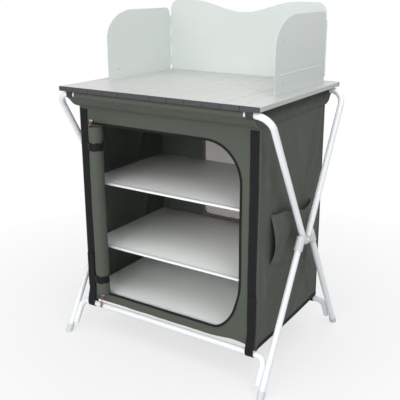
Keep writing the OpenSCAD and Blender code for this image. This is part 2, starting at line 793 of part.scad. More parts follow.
side_cloth(1);  // cabinet_right_cloth
cabinet_back_cloth();
cabinet_floor_cloth();
mesh_window();
corner_webbing();
hem_binding();
side_pocket();
door_roll();
roll_straps();
zip_tape();
zip_slider(upper_slider_x, upper_slider_z);  // upper_zip_slider
zip_pull(upper_slider_x, upper_slider_z);  // upper_zip_pull
zip_slider(lower_slider_x, lower_slider_z);  // lower_zip_slider
zip_pull(lower_slider_x, lower_slider_z, lower_pull_tilt);  // lower_zip_pull
shelf(bottom_shelf_z);  // bottom_shelf
shelf(middle_shelf_z);  // middle_shelf
shelf(top_shelf_z);  // top_shelf
shelf_trim(bottom_shelf_z);  // bottom_shelf_trim
shelf_trim(middle_shelf_z);  // middle_shelf_trim
shelf_trim(top_shelf_z);  // top_shelf_trim
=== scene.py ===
import math

import bpy
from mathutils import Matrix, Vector, noise


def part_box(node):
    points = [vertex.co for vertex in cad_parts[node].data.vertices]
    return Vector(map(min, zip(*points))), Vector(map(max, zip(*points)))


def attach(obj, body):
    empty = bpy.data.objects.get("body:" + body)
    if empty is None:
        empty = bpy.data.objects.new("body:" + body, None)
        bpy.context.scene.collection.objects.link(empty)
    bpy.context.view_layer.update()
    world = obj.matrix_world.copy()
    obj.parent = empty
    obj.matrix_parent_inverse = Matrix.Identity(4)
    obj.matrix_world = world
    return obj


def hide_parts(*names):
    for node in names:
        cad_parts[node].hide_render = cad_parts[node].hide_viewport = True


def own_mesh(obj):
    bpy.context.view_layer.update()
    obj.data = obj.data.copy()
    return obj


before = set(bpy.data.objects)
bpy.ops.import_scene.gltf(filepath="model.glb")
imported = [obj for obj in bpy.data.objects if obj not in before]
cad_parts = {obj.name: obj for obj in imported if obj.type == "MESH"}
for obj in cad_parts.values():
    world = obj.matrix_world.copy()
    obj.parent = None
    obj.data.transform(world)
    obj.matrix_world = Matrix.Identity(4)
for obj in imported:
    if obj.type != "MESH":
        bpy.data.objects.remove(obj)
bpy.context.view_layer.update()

bl_info = {
    "name": "Camp Kitchen Table",
    "version": (1, 0, 0),
    "blender": (4, 5, 0),
    "location": "View3D > Sidebar > Camp Kitchen",
    "description": "Dresses a folding camp kitchen: slatted top, windscreen, tube frame and cloth cabinet",
    "category": "Object",
}

# Sizes that come with the frame, in metres
SEAM_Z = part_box("skirt")[0][2]
CLOTH_LEFT, CLOTH_RIGHT = (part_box("cabinet_front_cloth")[i][0] for i in (0, 1))
FRONT_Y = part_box("cabinet_front_cloth")[0][1]
BACK_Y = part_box("cabinet_back_cloth")[1][1]
BAR_Y, BAR_Z = (sum(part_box("front_bar_sleeve")[i][axis] for i in (0, 1)) / 2 for axis in (1, 2))
SLAT_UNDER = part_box("slat_06")[0][2]
CROSSBAR_Y, CROSSBAR_Z = 0.2159, 0.1015
TUBE_R = 0.0095
# Sizes of the sewn parts
CAP_DEPTH = 0.00505  # what a slat's end cap covers
FRONT_LOW, SIDE_LOW, BACK_LOW = 0.118, 0.1145, 0.117  # lower edges before their hems
STRAP_WIDTH, TAPE_WIDTH = 0.027, 0.012
BINDING_WIDTH = 0.030
SKIRT_RISE = BAR_Z - 0.004 - SEAM_Z  # from the seam to the sleeves
FRONT_TUCK, SIDE_TUCK = 0.0022, 0.0016  # how far the skirt's seam stands out
SIDE_INSET = 0.002  # from the side cloths' edges to the front and the back
SIDE_PLANE = CLOTH_RIGHT - 0.0012  # where the side cloths hang when they don't bulge
BOARD_SLIMMER = 0.0042  # how far the middle and top board's underside is raised
# How the soft parts go flat between the frames
FOLD = {"joint": "front_frame_fold", "axis": (0, 1, 0), "anchor": (0, 0, 0), "keep": 0.12}
SKIRT_FOLD = {**FOLD, "keep": 0.055}  # the skirt goes down between the two folded top bars
HALF_TURN = math.pi


# ---- Settings shown to the user -----------------------------------------------------


def metres(name, description, default, low, high):
    """A length that the user can set."""
    return bpy.props.FloatProperty(
        name=name, description=description, default=default, min=low, max=high, unit="LENGTH")


def tint(name, description, default):
    """A colour that the user can set."""
    return bpy.props.FloatVectorProperty(
        name=name, description=description, default=default, subtype="COLOR", size=3, min=0, max=1)


class CampKitchenCloth(bpy.types.PropertyGroup):
    door_left: metres("Door left", "Left edge of the doorway, from the middle", -0.283, -0.30, -0.25)
    door_right: metres("Door right", "Right edge of the doorway, from the middle", 0.265, 0.2, 0.28)
    door_low: metres("Door bottom", "Height of the doorway's sill", 0.152, 0.14, 0.2)
    door_high: metres("Door top", "Height of the doorway's top edge", 0.730, 0.65, 0.75)
    top_arch: metres("Top arch", "Radius of the doorway's top right corner", 0.115, 0.02, 0.15)
    low_arch_reach: metres(
        "Bottom arch length", "Length of the curve at the doorway's bottom right corner", 0.10, 0.02, 0.15)
    low_arch_rise: metres(
        "Bottom arch height", "Height of the curve at the doorway's bottom right corner", 0.17, 0.02, 0.2)
    thickness: metres("Cloth thickness", "Thickness of the coated cloth", 0.0012, 0.0005, 0.003)
    slack: metres("Slack", "Depth of the soft wrinkles in the cloth walls", 0.0035, 0.0, 0.01)


class CampKitchenColours(bpy.types.PropertyGroup):
    cloth: tint("Cloth", "Colour of the cabinet's cloth", (0.076, 0.086, 0.070))
    webbing: tint("Webbing", "Colour of straps, tape and binding", (0.0062, 0.0060, 0.0072))
    tube: tint("Tube", "Colour of the powder coat on the tubes", (0.82, 0.84, 0.85))
    slats: tint("Slats", "Colour of the slats", (0.56, 0.57, 0.55))
    caps: tint("End caps", "Colour of the slats' end caps", (0.044, 0.042, 0.048))
    screen: tint("Windscreen", "Colour of the windscreen's paint", (0.62, 0.655, 0.63))
    mould: tint("Mouldings", "Colour of the hubs and foot plugs", (0.62, 0.64, 0.65))
    board: tint("Shelf boards", "Colour of the shelf boards' laminate", (0.84, 0.85, 0.83))
    pulls: tint("Zip pulls", "Colour of the zip pulls", (0.42, 0.11, 0.09))


# ---- Shader values, and effects that several finishes share --------------------------


def plug(tree, socket, value):
    """Feeds an input from an output or a Value, or sets it to a number, a place or a colour."""
    value = getattr(value, "socket", value)
    if isinstance(value, bpy.types.NodeSocket):
        tree.links.new(value, socket)
    elif isinstance(value, (int, float)):
        socket.default_value = value
    else:
        socket.default_value = (*value[:3], 1) if socket.type == "RGBA" else value


def node(tree, kind, *inputs, **values):
    """Adds a node; inputs feed its sockets in order, values set its fields or sockets by name."""
    made = tree.nodes.new("ShaderNode" + kind)
    for key, value in values.items():
        if hasattr(made, key):
            setattr(made, key, value)
        else:
            plug(tree, made.inputs[key.replace("_", " ")], value)
    for socket, value in zip(made.inputs, inputs):
        plug(tree, socket, value)
    return made


def sums(tree, operation, *numbers):
    return Value(tree, node(tree, "Math", *numbers, operation=operation).outputs[0])


class Value:
    """A number in a shader: what is reckoned with it becomes math nodes in its tree."""

    def __init__(self, tree, socket):
        self.tree, self.socket = tree, socket

    def to(self, operation, *others):
        return sums(self.tree, operation, self, *others)

    def held(self):
        """The same, kept between 0 and 1."""
        self.socket.node.use_clamp = True
        return self

    def __abs__(self):
        return self.to("ABSOLUTE")


for sign, operation in (("add", "ADD"), ("sub", "SUBTRACT"), ("mul", "MULTIPLY"), ("truediv", "DIVIDE")):
    setattr(Value, f"__{sign}__", lambda self, other, kind=operation: sums(self.tree, kind, self, other))
    setattr(Value, f"__r{sign}__", lambda self, other, kind=operation: sums(self.tree, kind, other, self))


def split(tree, place):
    """The three coordinates of a place."""
    return [Value(tree, output) for output in node(tree, "SeparateXYZ", place).outputs]


def speckle(tree, place, scale, **values):
    return Value(tree, node(tree, "TexNoise", place, Scale=scale, **values).outputs[0])


def blend_colours(tree, factor, first, second, blend="MIX"):
    made = node(tree, "Mix", data_type="RGBA", blend_type=blend)
    values = {"Factor_Float": factor, "A_Color": first, "B_Color": second}
    for socket in made.inputs:
        if socket.identifier in values:
            plug(tree, socket, values[socket.identifier])
    return next(output for output in made.outputs if output.identifier == "Result_Color")


def effect(name, inputs, outputs):
    """A new node group on a Vector; returns its tree, its inputs and what takes its results."""
    tree = bpy.data.node_groups.new(name, "ShaderNodeTree")
    new_socket = tree.interface.new_socket
    new_socket("Vector", in_out="INPUT", socket_type="NodeSocketVector")
    for label, default in inputs.items():
        kind = "NodeSocketFloat" if isinstance(default, float) else "NodeSocketColor"
        new_socket(label, in_out="INPUT", socket_type=kind).default_value = default
    for label in outputs:
        kind = "NodeSocketColor" if label == "Colour" else "NodeSocketFloat"
        new_socket(label, in_out="OUTPUT", socket_type=kind)
    inward, outward = (tree.nodes.new(kind) for kind in ("NodeGroupInput", "NodeGroupOutput"))

    def ends(*results):
        for socket, result in zip(outward.inputs, results):
            plug(tree, socket, result)

    return tree, [Value(tree, output) for output in inward.outputs[:len(inputs) + 1]], ends


def make_mottle():
    """Soft patches of lighter and darker tone, with fine grain on top."""
    tree, (place, colour, wide, fine, amount), ends = effect(
        "Mottle", {"Colour": (0.5, 0.5, 0.5, 1), "Patch Scale": 8.0, "Grain Scale": 300.0, "Amount": 0.12},
        ("Colour", "Patches", "Grain"))
    patches = speckle(tree, place, wide, Detail=4.0, Roughness=0.55)
    grain = speckle(tree, place, fine, Detail=2.0)
    light = 1.0 + (patches + grain * 0.5 - 0.75) * (amount * 2.0)
    grey = node(tree, "CombineColor", light, light, light).outputs[0]
    ends(blend_colours(tree, 1.0, colour, grey, "MULTIPLY"), patches, grain)


def make_weave():
    """Plain weave on coordinates in metres: over and under threads, some thicker than others."""
    tree, (place, pitch, share), ends = effect("Weave", {"Pitch": 0.0012, "Slub": 0.35}, ("Height", "Tone"))
    turns = HALF_TURN / pitch
    along, up, _ = split(tree, place)
    crossing = (along * turns).to("SINE") * (up * turns).to("SINE")
    drawn = [node(tree, "Mapping", place, Scale=stretch).outputs[0]
             for stretch in ((1400.0, 40.0, 1.0), (40.0, 1400.0, 1.0))]
    slub = speckle(tree, drawn[0], 1.0, Detail=1.0) + speckle(tree, drawn[1], 1.0, Detail=1.0) - 1.0
    ends(crossing * 0.5 + slub * share, crossing * 0.25 + slub)


def make_stitches():
    """A row of stitches at each side of a strip whose UV map runs along it in metres."""
    tree, (place, width, inset, stitch), ends = effect(
        "Stitches", {"Width": 0.027, "Inset": 0.0022, "Length": 0.0032}, ("Mask", "Height"))
    along, up, _ = split(tree, place)
    half = width * 0.5
    row = abs(abs(up - half) - (half - inset))
    dash = abs((along / stitch).to("FRACT") - 0.5).to("LESS_THAN", 0.36)
    mask = (1.0 - row / 0.00045).held() * dash
    ends(mask, mask * 1.4 - (1.0 - row / 0.0011).held())


def make_lines():
    """Fine drawn lines along Y, as on extruded or brushed metal."""
    tree, (place, fineness), ends = effect("Drawn Lines", {"Fineness": 900.0}, ("Height",))
    drawn = node(tree, "Mapping", place, Scale=(1.0, 0.012, 1.0)).outputs[0]
    ends(speckle(tree, drawn, fineness, Detail=3.0))


def make_scuffs():
    """A mask of short scratches and rubbed spots, denser low down on the object."""
    tree, (place, amount, reach), ends = effect("Scuffs", {"Amount": 0.3, "Reach": 0.12}, ("Mask",))
    spots = speckle(tree, place, 70.0, Detail=6.0, Roughness=0.7)
    low = (1.0 - split(tree, place)[2] / reach).held()
    dense = (low * 0.7 + 0.3) * amount
    ends(((spots - (0.72 - dense * 0.3)) * 12.0).held())


# ---- Finishes ------------------------------------------------------------------------


class Finish:
    """A material being made: its tree, its shader and the coordinates that it reads."""

    def __init__(self, name, roughness, coords="Object", **values):
        self.material = bpy.data.materials.new(name)
        self.material.use_nodes = True
        self.tree = self.material.node_tree
        self.shader = self.tree.nodes["Principled BSDF"]
        self.feed(Roughness=roughness, Sheen_Roughness=0.45, Coat_Roughness=0.15, **values)
        self.place = self.tree.nodes.new("ShaderNodeTexCoord").outputs[coords]

    def feed(self, **values):
        for key, value in values.items():
            plug(self.tree, self.shader.inputs[key.replace("_", " ")], value)

    def group(self, name, **values):
        made = self.tree.nodes.new("ShaderNodeGroup")
        made.node_tree = bpy.data.node_groups[name]
        for key, value in {"Vector": self.place, **values}.items():
            plug(self.tree, made.inputs[key.replace("_", " ")], value)
        return {output.name: Value(self.tree, output) for output in made.outputs}

    def mottle(self, colour, patches, grain, amount):
        return self.group("Mottle", Colour=colour, Patch_Scale=patches, Grain_Scale=grain, Amount=amount)

    def bump(self, height, distance, strength=1.0, under=None):
        made = node(self.tree, "Bump", Height=height, Strength=strength, Distance=distance)
        if under is not None:
            plug(self.tree, made.inputs["Normal"], under)
        self.feed(Normal=made.outputs[0])
        return made.outputs[0]

    def stitched(self, colour, thread, depth, **sizes):
        """Rows of stitches over a colour, and their bump."""
        stitches = self.group("Stitches", **sizes)
        sewn = blend_colours(self.tree, stitches["Mask"], colour, thread)
        return sewn, self.bump(stitches["Height"], depth)


def shade(colour, factor, more=0.0):
    return tuple(min(1, more + c * factor) for c in colour)


def hard_finish(name, colour, mottle, rough, relief, scuffed=None, by="Patches", **values):
    """Paint, plastic, laminate or plating: mottled, and rubbed where it is scuffed.

    mottle is patch scale, grain scale and amount; rough its least and its swing; relief which tone
    stands out, how far and how strongly; scuffed is amount, reach, share and the worn colour.
    """
    made = Finish(name, rough[0], **values)
    tones = made.mottle(colour, *mottle)
    shown = tones["Colour"]
    if scuffed:
        amount, reach, share, worn = scuffed
        scuffs = made.group("Scuffs", Amount=amount, Reach=reach)
        shown = blend_colours(made.tree, scuffs["Mask"] * share, shown, worn)
    made.feed(Base_Color=shown, Roughness=tones[by] * rough[1] + rough[0])
    made.bump(tones[relief[0]], *relief[1:])
    return made.material


def powder_coat(name, colour, least):
    return hard_finish(name, colour, (6.0, 900.0, 0.03), (least, 0.12), ("Grain", 0.00008),
                       (0.22, 0.1, 1.0, (0.45, 0.46, 0.47)), Coat_Weight=0.15)


def mould_plastic(name, colour, least):
    return hard_finish(name, colour, (20.0, 1600.0, 0.05), (least, 0.12), ("Grain", 0.0001),
                       (0.3, 0.05, 0.5, (0.3, 0.3, 0.3)), by="Grain")


def slat_finish(colour, caps):
    """Satin anodised extrusion, with dark plastic over the last few millimetres at each end."""
    made = Finish("Slat", 0.42)
    cap = abs(split(made.tree, made.place)[1]).to("GREATER_THAN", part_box("slat_06")[1][1] - CAP_DEPTH)
    metal, plastic = made.mottle(colour, 3.0, 500.0, 0.05), made.mottle(caps, 30.0, 1500.0, 0.12)
    lines = made.group("Drawn Lines", Fineness=1400.0)["Height"]
    drawn = blend_colours(made.tree, lines * 0.30, metal["Colour"], (0.30, 0.31, 0.30))
    made.feed(Base_Color=blend_colours(made.tree, cap, drawn, plastic["Colour"]),
              Metallic=(1.0 - cap) * 0.35, Roughness=lines * 0.22 + 0.30 + cap * 0.12)
    made.bump(lines, 0.00012, 0.7)
    return made.material


def woven_cloth(name, colour, pitch=0.0011, tone=0.5, sheen=0.03, sewn=None):
    """Coated polyester cloth on the piece's own UV map in metres, sewn along its long sides or not."""
    made = Finish(name, 0.78, "UV", Sheen_Weight=sheen, Specular_IOR_Level=0.3)
    weave = made.group("Weave", Pitch=pitch, Slub=0.35)
    tones = made.mottle(colour, 9.0, 420.0, 0.10)
    light = (weave["Tone"] * tone + 0.5).held()
    threads = blend_colours(made.tree, light, shade(colour, 0.66), shade(colour, 1.28))
    under = None
    if sewn:
        threads, under = made.stitched(threads, shade(colour, 1.9), 0.0006, Width=sewn[0], Inset=sewn[1])
    made.feed(Base_Color=blend_colours(made.tree, 0.55, tones["Colour"], threads),
              Roughness=tones["Patches"] * 0.16 + 0.70)
    made.bump(weave["Height"], 0.00016, 0.8, under)
    return made.material


def ribbed_webbing(name, colour, rib=0.0016, sewn=None):
    """Woven tape: ribs across it and a bound edge, on the piece's UV map in metres."""
    made = Finish(name, 0.72, "UV", Sheen_Weight=0.02, Specular_IOR_Level=0.2)
    weave = made.group("Weave", Pitch=rib, Slub=0.5)
    tones = made.mottle(colour, 14.0, 500.0, 0.25)
    ribs = blend_colours(made.tree, (weave["Tone"] * 0.8 + 0.35).held(), tones["Colour"], shade(colour, 1.7))
    under = None
    if sewn:
        ribs, under = made.stitched(ribs, shade(colour, 3, 0.02), 0.0005, Width=sewn)
    made.feed(Base_Color=ribs, Roughness=tones["Patches"] * 0.2 + 0.62)
    made.bump(weave["Height"], 0.0003, 0.9, under)
    return made.material


def open_net():
    """Knitted net: fine threads with open holes between them."""
    made = Finish("Window Net", 0.8, "UV")
    waves = [abs((at * (HALF_TURN / 0.0016)).to("SINE")) for at in split(made.tree, made.place)[:2]]
    tones = made.mottle((0.16, 0.13, 0.115), 10.0, 600.0, 0.2)
    made.feed(Alpha=(waves[0] * waves[1]).to("LESS_THAN", 0.62), Base_Color=tones["Colour"],
              Roughness=tones["Patches"] * 0.15 + 0.7)
    return made.material


def give(material, *names):
    """Puts one finish on CAD nodes."""
    for name in names:
        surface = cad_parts[name].data.materials
        surface.clear()
        surface.append(material)


# ---- Handling pieces -----------------------------------------------------------------


def put_down():
    """Leaves edit mode and deselects everything."""
    if bpy.context.object and bpy.context.object.mode != "OBJECT":
        bpy.ops.object.mode_set(mode="OBJECT")
    bpy.ops.object.select_all(action="DESELECT")


def pick_up(piece):
    put_down()
    piece.select_set(True)
    bpy.context.view_layer.objects.active = piece


def open_up(piece, action="SELECT"):
    """Goes into edit mode on a piece, with all or nothing selected."""
    pick_up(piece)
    bpy.ops.object.mode_set(mode="EDIT")
    bpy.ops.mesh.select_all(action=action)


def settle(name):
    """Names the new piece and moves its place into its mesh."""
    piece = bpy.context.active_object
    piece.name = piece.data.name = name
    bpy.ops.object.transform_apply(location=True, rotation=True, scale=True)
    return piece


def new_sheet(name, width, height, cell=0.006, cells=None):
    """A flat grid of cloth in XZ, standing on Z 0 with X from 0; its UV map is in metres."""
    put_down()
    across, up = cells or (max(1, round(width / cell)), max(1, round(height / cell)))
    bpy.ops.mesh.primitive_grid_add(
        x_subdivisions=across, y_subdivisions=up, size=1, location=(width / 2, 0, height / 2),
        rotation=(HALF_TURN / 2, 0, 0))
    bpy.context.active_object.scale = (width, height, 1)
    piece = settle(name)
    for corner in piece.data.uv_layers.active.data:
        corner.uv = (corner.uv[0] * width, corner.uv[1] * height)
    return piece


def shape(piece, move):
    """Moves each vertex to move(x, y, z)."""
    for vertex in piece.data.vertices:
        vertex.co = move(*vertex.co)
    piece.data.update()


def cut_away(piece, gone):
    """Deletes the faces whose middle is where gone(x, y, z) is true."""
    open_up(piece, "DESELECT")
    bpy.ops.mesh.select_mode(type="FACE")
    bpy.ops.object.mode_set(mode="OBJECT")
    for face in piece.data.polygons:
        face.select = gone(*face.center)
    bpy.ops.object.mode_set(mode="EDIT")
    bpy.ops.mesh.delete(type="FACE")
    bpy.ops.object.mode_set(mode="OBJECT")


def finish_with(piece, kind, **values):
    """Adds a modifier and applies it."""
    pick_up(piece)
    made = piece.modifiers.new(kind.title(), kind)
    for key, value in values.items():
        setattr(made, key, value)
    bpy.ops.object.modifier_apply(modifier=made.name)


def thicken(piece, depth, offset=0.0):
    finish_with(piece, "SOLIDIFY", thickness=depth, offset=offset, use_even_offset=True)


def smooth(piece, angle=40):
    pick_up(piece)
    bpy.ops.object.shade_smooth_by_angle(angle=math.radians(angle))


def face_out(piece):
    open_up(piece)
    bpy.ops.mesh.remove_doubles(threshold=1e-6)
    bpy.ops.mesh.normals_make_consistent(inside=False)
    bpy.ops.object.mode_set(mode="OBJECT")


def join(name, pieces):
    put_down()
    for piece in pieces:
        piece.select_set(True)
    bpy.context.view_layer.objects.active = pieces[0]
    bpy.ops.object.join()
    return settle(name)


def dress(piece, material, body, slot, *nodes, fold=None):
    """Finish, body, the nodes it stands for and how it folds; slot is not used."""
    piece.data.materials.clear()
    piece.data.materials.append(bpy.data.materials[material])
    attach(piece, body)
    if nodes:
        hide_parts(*nodes)
    if fold:
        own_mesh(piece)


def sew(piece, depth, material, *nodes, slot="cloth", fold=FOLD, angle=40, offset=0.0):
    """Makes a shaped sheet a closed, smooth cloth or tape of the cabinet."""
    thicken(piece, depth, offset)
    smooth(piece, angle)
    dress(piece, material, "cabinet", slot, *nodes, fold=fold)


def ramp(value, low, high):
    """0 at low, 1 at high, smooth between."""
    t = min(1.0, max(0.0, (value - low) / (high - low)))
    return t * t * (3 - 2 * t)


def arch(share):
    """0 at 0 and 1, and 1 half way between."""
    return max(0.0, math.sin(HALF_TURN * min(1.0, max(0.0, share))))


def wrinkle(x, y, z, size, seed):
    """Soft creases between -1 and 1, with sharper crests than hollows."""
    value = noise.noise(Vector((x / size + seed, y / size, z / size)))
    fine = noise.noise(Vector((x * 2.3 / size, y * 2.3 / size + seed, z * 2.3 / size)))
    return (1 - 2 * abs(value)) * 0.7 + fine * 0.5


def ribbon(name, path, width, cell=0.005, across_cells=4, bulge=None):
    """A strip laid along a path of (place, direction across it); bulge(s, v) lifts it off its face."""
    lengths = [0.0]
    for first, second in zip(path, path[1:]):
        lengths.append(lengths[-1] + (Vector(second[0]) - Vector(first[0])).length)
    total = lengths[-1]
    piece = new_sheet(name, total, width, cells=(max(2, round(total / cell)), across_cells))
    leg = [0]

    def lay(s, _, v):
        at = min(max(s, 0.0), total)
        i = leg[0]
        while i > 0 and lengths[i] > at:
            i -= 1
        while i < len(path) - 2 and lengths[i + 1] < at:
            i += 1
        leg[0] = i
        t = (at - lengths[i]) / max(1e-9, lengths[i + 1] - lengths[i])
        place = Vector(path[i][0]).lerp(Vector(path[i + 1][0]), t)
        across = Vector(path[i][1]).lerp(Vector(path[i + 1][1]), t).normalized()
        if bulge:
            ahead = (Vector(path[i + 1][0]) - Vector(path[i][0])).normalized()
            place += ahead.cross(across).normalized() * bulge(at, v / width)
        return place + across * (v - width / 2)

    shape(piece, lay)
    return piece


def bend(points, radius, steps=6):
    """Rounds the corners of a path of places."""
    rounded = [Vector(points[0])]
    for before, corner, after in zip(points, points[1:], points[2:]):
        corner = Vector(corner)
        inward, onward = (Vector(before) - corner), (Vector(after) - corner)
        reach = min(radius, inward.length / 2, onward.length / 2)
        start, end = corner + inward.normalized() * reach, corner + onward.normalized() * reach
        for i in range(steps + 1):
            t = i / steps
            rounded.append(start * (1 - t) ** 2 + corner * 2 * t * (1 - t) + end * t ** 2)
    rounded.append(Vector(points[-1]))
    return rounded


def node_copy(name, node_name):
    """A copy of a CAD node as one closed mesh."""
    put_down()
    piece = bpy.data.objects.new(name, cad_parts[node_name].data.copy())
    bpy.context.collection.objects.link(piece)
    face_out(piece)
    piece.data.name = name
    return piece


def moulded_copy(name, node_name, voxel):
    """A CAD node's shape with its edges rounded as a moulding's are."""
    piece = node_copy(name, node_name)
    finish_with(piece, "REMESH", mode="VOXEL", voxel_size=voxel, adaptivity=0.0)
    finish_with(piece, "SMOOTH", factor=0.5, iterations=2)
    finish_with(piece, "DECIMATE", decimate_type="DISSOLVE", angle_limit=math.radians(2.5))
    finish_with(piece, "TRIANGULATE")
    smooth(piece, 50)
    piece.data.name = name
    return piece


def slim_copy(name, node_name):
    """A CAD board or channel with its underside raised and its edges eased."""
    piece = node_copy(name, node_name)
    heights = [corner.co.z for corner in piece.data.vertices]
    middle = (min(heights) + max(heights)) / 2
    shape(piece, lambda x, y, z: (x, y, z + BOARD_SLIMMER if z < middle else z))
    finish_with(piece, "BEVEL", width=0.0005, segments=2, limit_method="ANGLE")
    smooth(piece, 50)
    return piece


# ---- The doorway's outline -----------------------------------------------------------


def door_outline(cloth, grow, steps=28):
    """Points (x, z) from the top left round the right side to the bottom left."""
    right, low, high = cloth.door_right + grow, cloth.door_low - grow, cloth.door_high + grow
    top_r = cloth.top_arch + grow
    reach, rise = cloth.low_arch_reach + grow, cloth.low_arch_rise + grow
    points = [(cloth.door_left, high)]
    for i in range(steps + 1):
        a = HALF_TURN / 2 * (1 - i / steps)
        points.append((right - top_r + top_r * math.cos(a), high - top_r + top_r * math.sin(a)))
    for i in range(steps + 1):
        a = -HALF_TURN / 2 * i / steps
        points.append((right - reach + reach * math.cos(a), low + rise + rise * math.sin(a)))
    points.append((cloth.door_left, low))
    return points


def in_door(cloth, x, z):
    right, low, high, top_r = cloth.door_right, cloth.door_low, cloth.door_high, cloth.top_arch
    reach, rise = cloth.low_arch_reach, cloth.low_arch_rise
    if not (cloth.door_left < x < right and low < z < high):
        return False
    if x > right - top_r and z > high - top_r:
        return (x - right + top_r) ** 2 + (z - high + top_r) ** 2 < top_r ** 2
    if x > right - reach and z < low + rise:
        return ((x - right + reach) / reach) ** 2 + ((z - low - rise) / rise) ** 2 < 1
    return True


def snap_rim(piece, outline, near=0.012):
    """Moves the open edge that a cut left onto an outline of (x, z) points."""
    rim = {}
    for face in piece.data.polygons:
        for edge in face.edge_keys:
            rim[edge] = rim.get(edge, 0) + 1
    rim = {v for edge, count in rim.items() if count == 1 for v in edge}
    for index in rim:
        place = piece.data.vertices[index].co
        best, gap = None, near
        for (x0, z0), (x1, z1) in zip(outline, outline[1:]):
            run = Vector((x1 - x0, z1 - z0))
            ahead = (place.x - x0) * run.x + (place.z - z0) * run.y
            t = max(0, min(1, ahead / max(1e-12, run.length_squared)))
            x, z = x0 + run.x * t, z0 + run.y * t
            away = math.hypot(place.x - x, place.z - z)
            if away < gap:
                best, gap = (x, z), away
        if best:
            place.x, place.z = best
    piece.data.update()


def crease(u, v, start, end, width, depth):
    """A soft ridge of this depth along a line on a cloth, fading out at both ends."""
    run = Vector((end[0] - start[0], end[1] - start[1]))
    t = ((u - start[0]) * run.x + (v - start[1]) * run.y) / run.length_squared
    held = min(1.0, max(0.0, t))
    away = math.hypot(u - start[0] - run.x * held, v - start[1] - run.y * held)
    return depth * math.exp(-(away / width) ** 2) * arch(0.1 + 0.8 * held)


# Folds in the front cloth: start and end as (x, z), width, depth (forward is negative)
FRONT_CREASES = (
    ((0.180, 0.140), (0.288, 0.290), 0.008, -0.0045), ((0.284, 0.340), (0.290, 0.640), 0.008, -0.0035),
    ((0.120, 0.128), (0.250, 0.160), 0.006, 0.0034), ((0.230, 0.128), (0.292, 0.230), 0.007, 0.0034),
    ((-0.100, 0.770), (-0.220, 0.745), 0.007, -0.0026), ((0.060, 0.772), (0.180, 0.748), 0.007, 0.0024),
    ((0.270, 0.760), (0.292, 0.660), 0.008, 0.0030))


def front_relief(cloth, x, z):
    """How far the front cloth stands back (+) or forward (-) of its plane at a point."""
    slack = cloth.slack
    soft = wrinkle(x, 0, z * 0.45, 0.13, 3.1) * slack * 0.45
    belly = -0.002 * arch(ramp(z, 0.11, 0.785))
    gather = wrinkle(x, 0, z * 0.2, 0.035, 8.0) * slack * 0.35 * ramp(z, 0.745, 0.785)
    sill = wrinkle(x * 0.5, 0, z, 0.04, 5.0) * slack * 0.4 * (1 - ramp(z, 0.12, 0.17))
    for start, end, wide, depth in FRONT_CREASES:
        sill += crease(x, z, start, end, wide, depth)
    return ((soft + belly + gather + sill) * (1 - 0.85 * ramp(z, 0.765, 0.785))
            * ramp(0.302 - abs(x), 0.0, 0.025))


def front_hem(x):
    """Height of the front cloth's lower edge: arched between the corner straps."""
    return 0.120 + 0.007 * math.exp(-((x - 0.25) / 0.05) ** 2) - 0.008 * ramp(abs(x), 0.285, 0.32)


# ---- Operators: the finishes and the hard parts --------------------------------------


class CAMPKITCHEN_OT_finishes(bpy.types.Operator):
    """Makes the finishes and puts them on the slats, windscreen, tubes, shelves and rivets"""

    bl_idname = "camp_kitchen.finishes"
    bl_label = "Finishes"

    def execute(self, context):
        for make in (make_mottle, make_weave, make_stitches, make_lines, make_scuffs):
            make()
        colours = context.scene.camp_kitchen_colours
        give(slat_finish(colours.slats, colours.caps), *[f"slat_{i:02d}" for i in range(1, 13)])
        paint = hard_finish("Windscreen Paint", colours.screen, (4.0, 700.0, 0.04), (0.32, 0.12),
                            ("Patches", 0.0012, 0.5), (0.12, 0.9, 0.4, (0.42, 0.44, 0.42)), Coat_Weight=0.1)
        give(paint, *[f"windscreen_{part}" for part in ("back", "wing_left", "wing_right")])
        coat = powder_coat("White Powder Coat", colours.tube, 0.27)
        steel = hard_finish("Plated Steel", (0.62, 0.62, 0.63), (60.0, 900.0, 0.12), (0.22, 0.2),
                            ("Grain", 0.00004), Metallic=1.0)
        laminate = hard_finish("Shelf Laminate", colours.board, (5.0, 260.0, 0.06), (0.36, 0.16),
                               ("Grain", 0.00008), (0.25, 0.9, 0.25, (0.62, 0.62, 0.61)))
        channel = powder_coat("White Channel", (0.86, 0.87, 0.88), 0.23)
        for end in ("front", "rear"):
            give(coat, *[f"{end}_{part}" for part in ("top_bar", "leg_left", "leg_right", "crossbar")])
        give(steel, "windscreen_hinge_pins", "wing_rivets_left", "wing_rivets_right", "pivot_rivets")
        for level in ("bottom", "middle", "top"):
            give(laminate, f"{level}_shelf")
            give(channel, f"{level}_shelf_trim")
        mould_plastic("Grey Moulding", colours.mould, 0.42)
        mould_plastic("Black Moulding", (0.018, 0.018, 0.020), 0.44)
        woven_cloth("Cabinet Cloth", colours.cloth)
        woven_cloth("Pull Cord", colours.pulls, pitch=0.0006, tone=0.3, sheen=0.3)
        ribbed_webbing("Webbing", colours.webbing)
        ribbed_webbing("Sewn Strap", colours.webbing, sewn=STRAP_WIDTH)
        ribbed_webbing("Sewn Tape", colours.webbing, sewn=TAPE_WIDTH)
        ribbed_webbing("Zip Tape", (0.007, 0.007, 0.008), 0.0010)
        open_net()
        return {"FINISHED"}


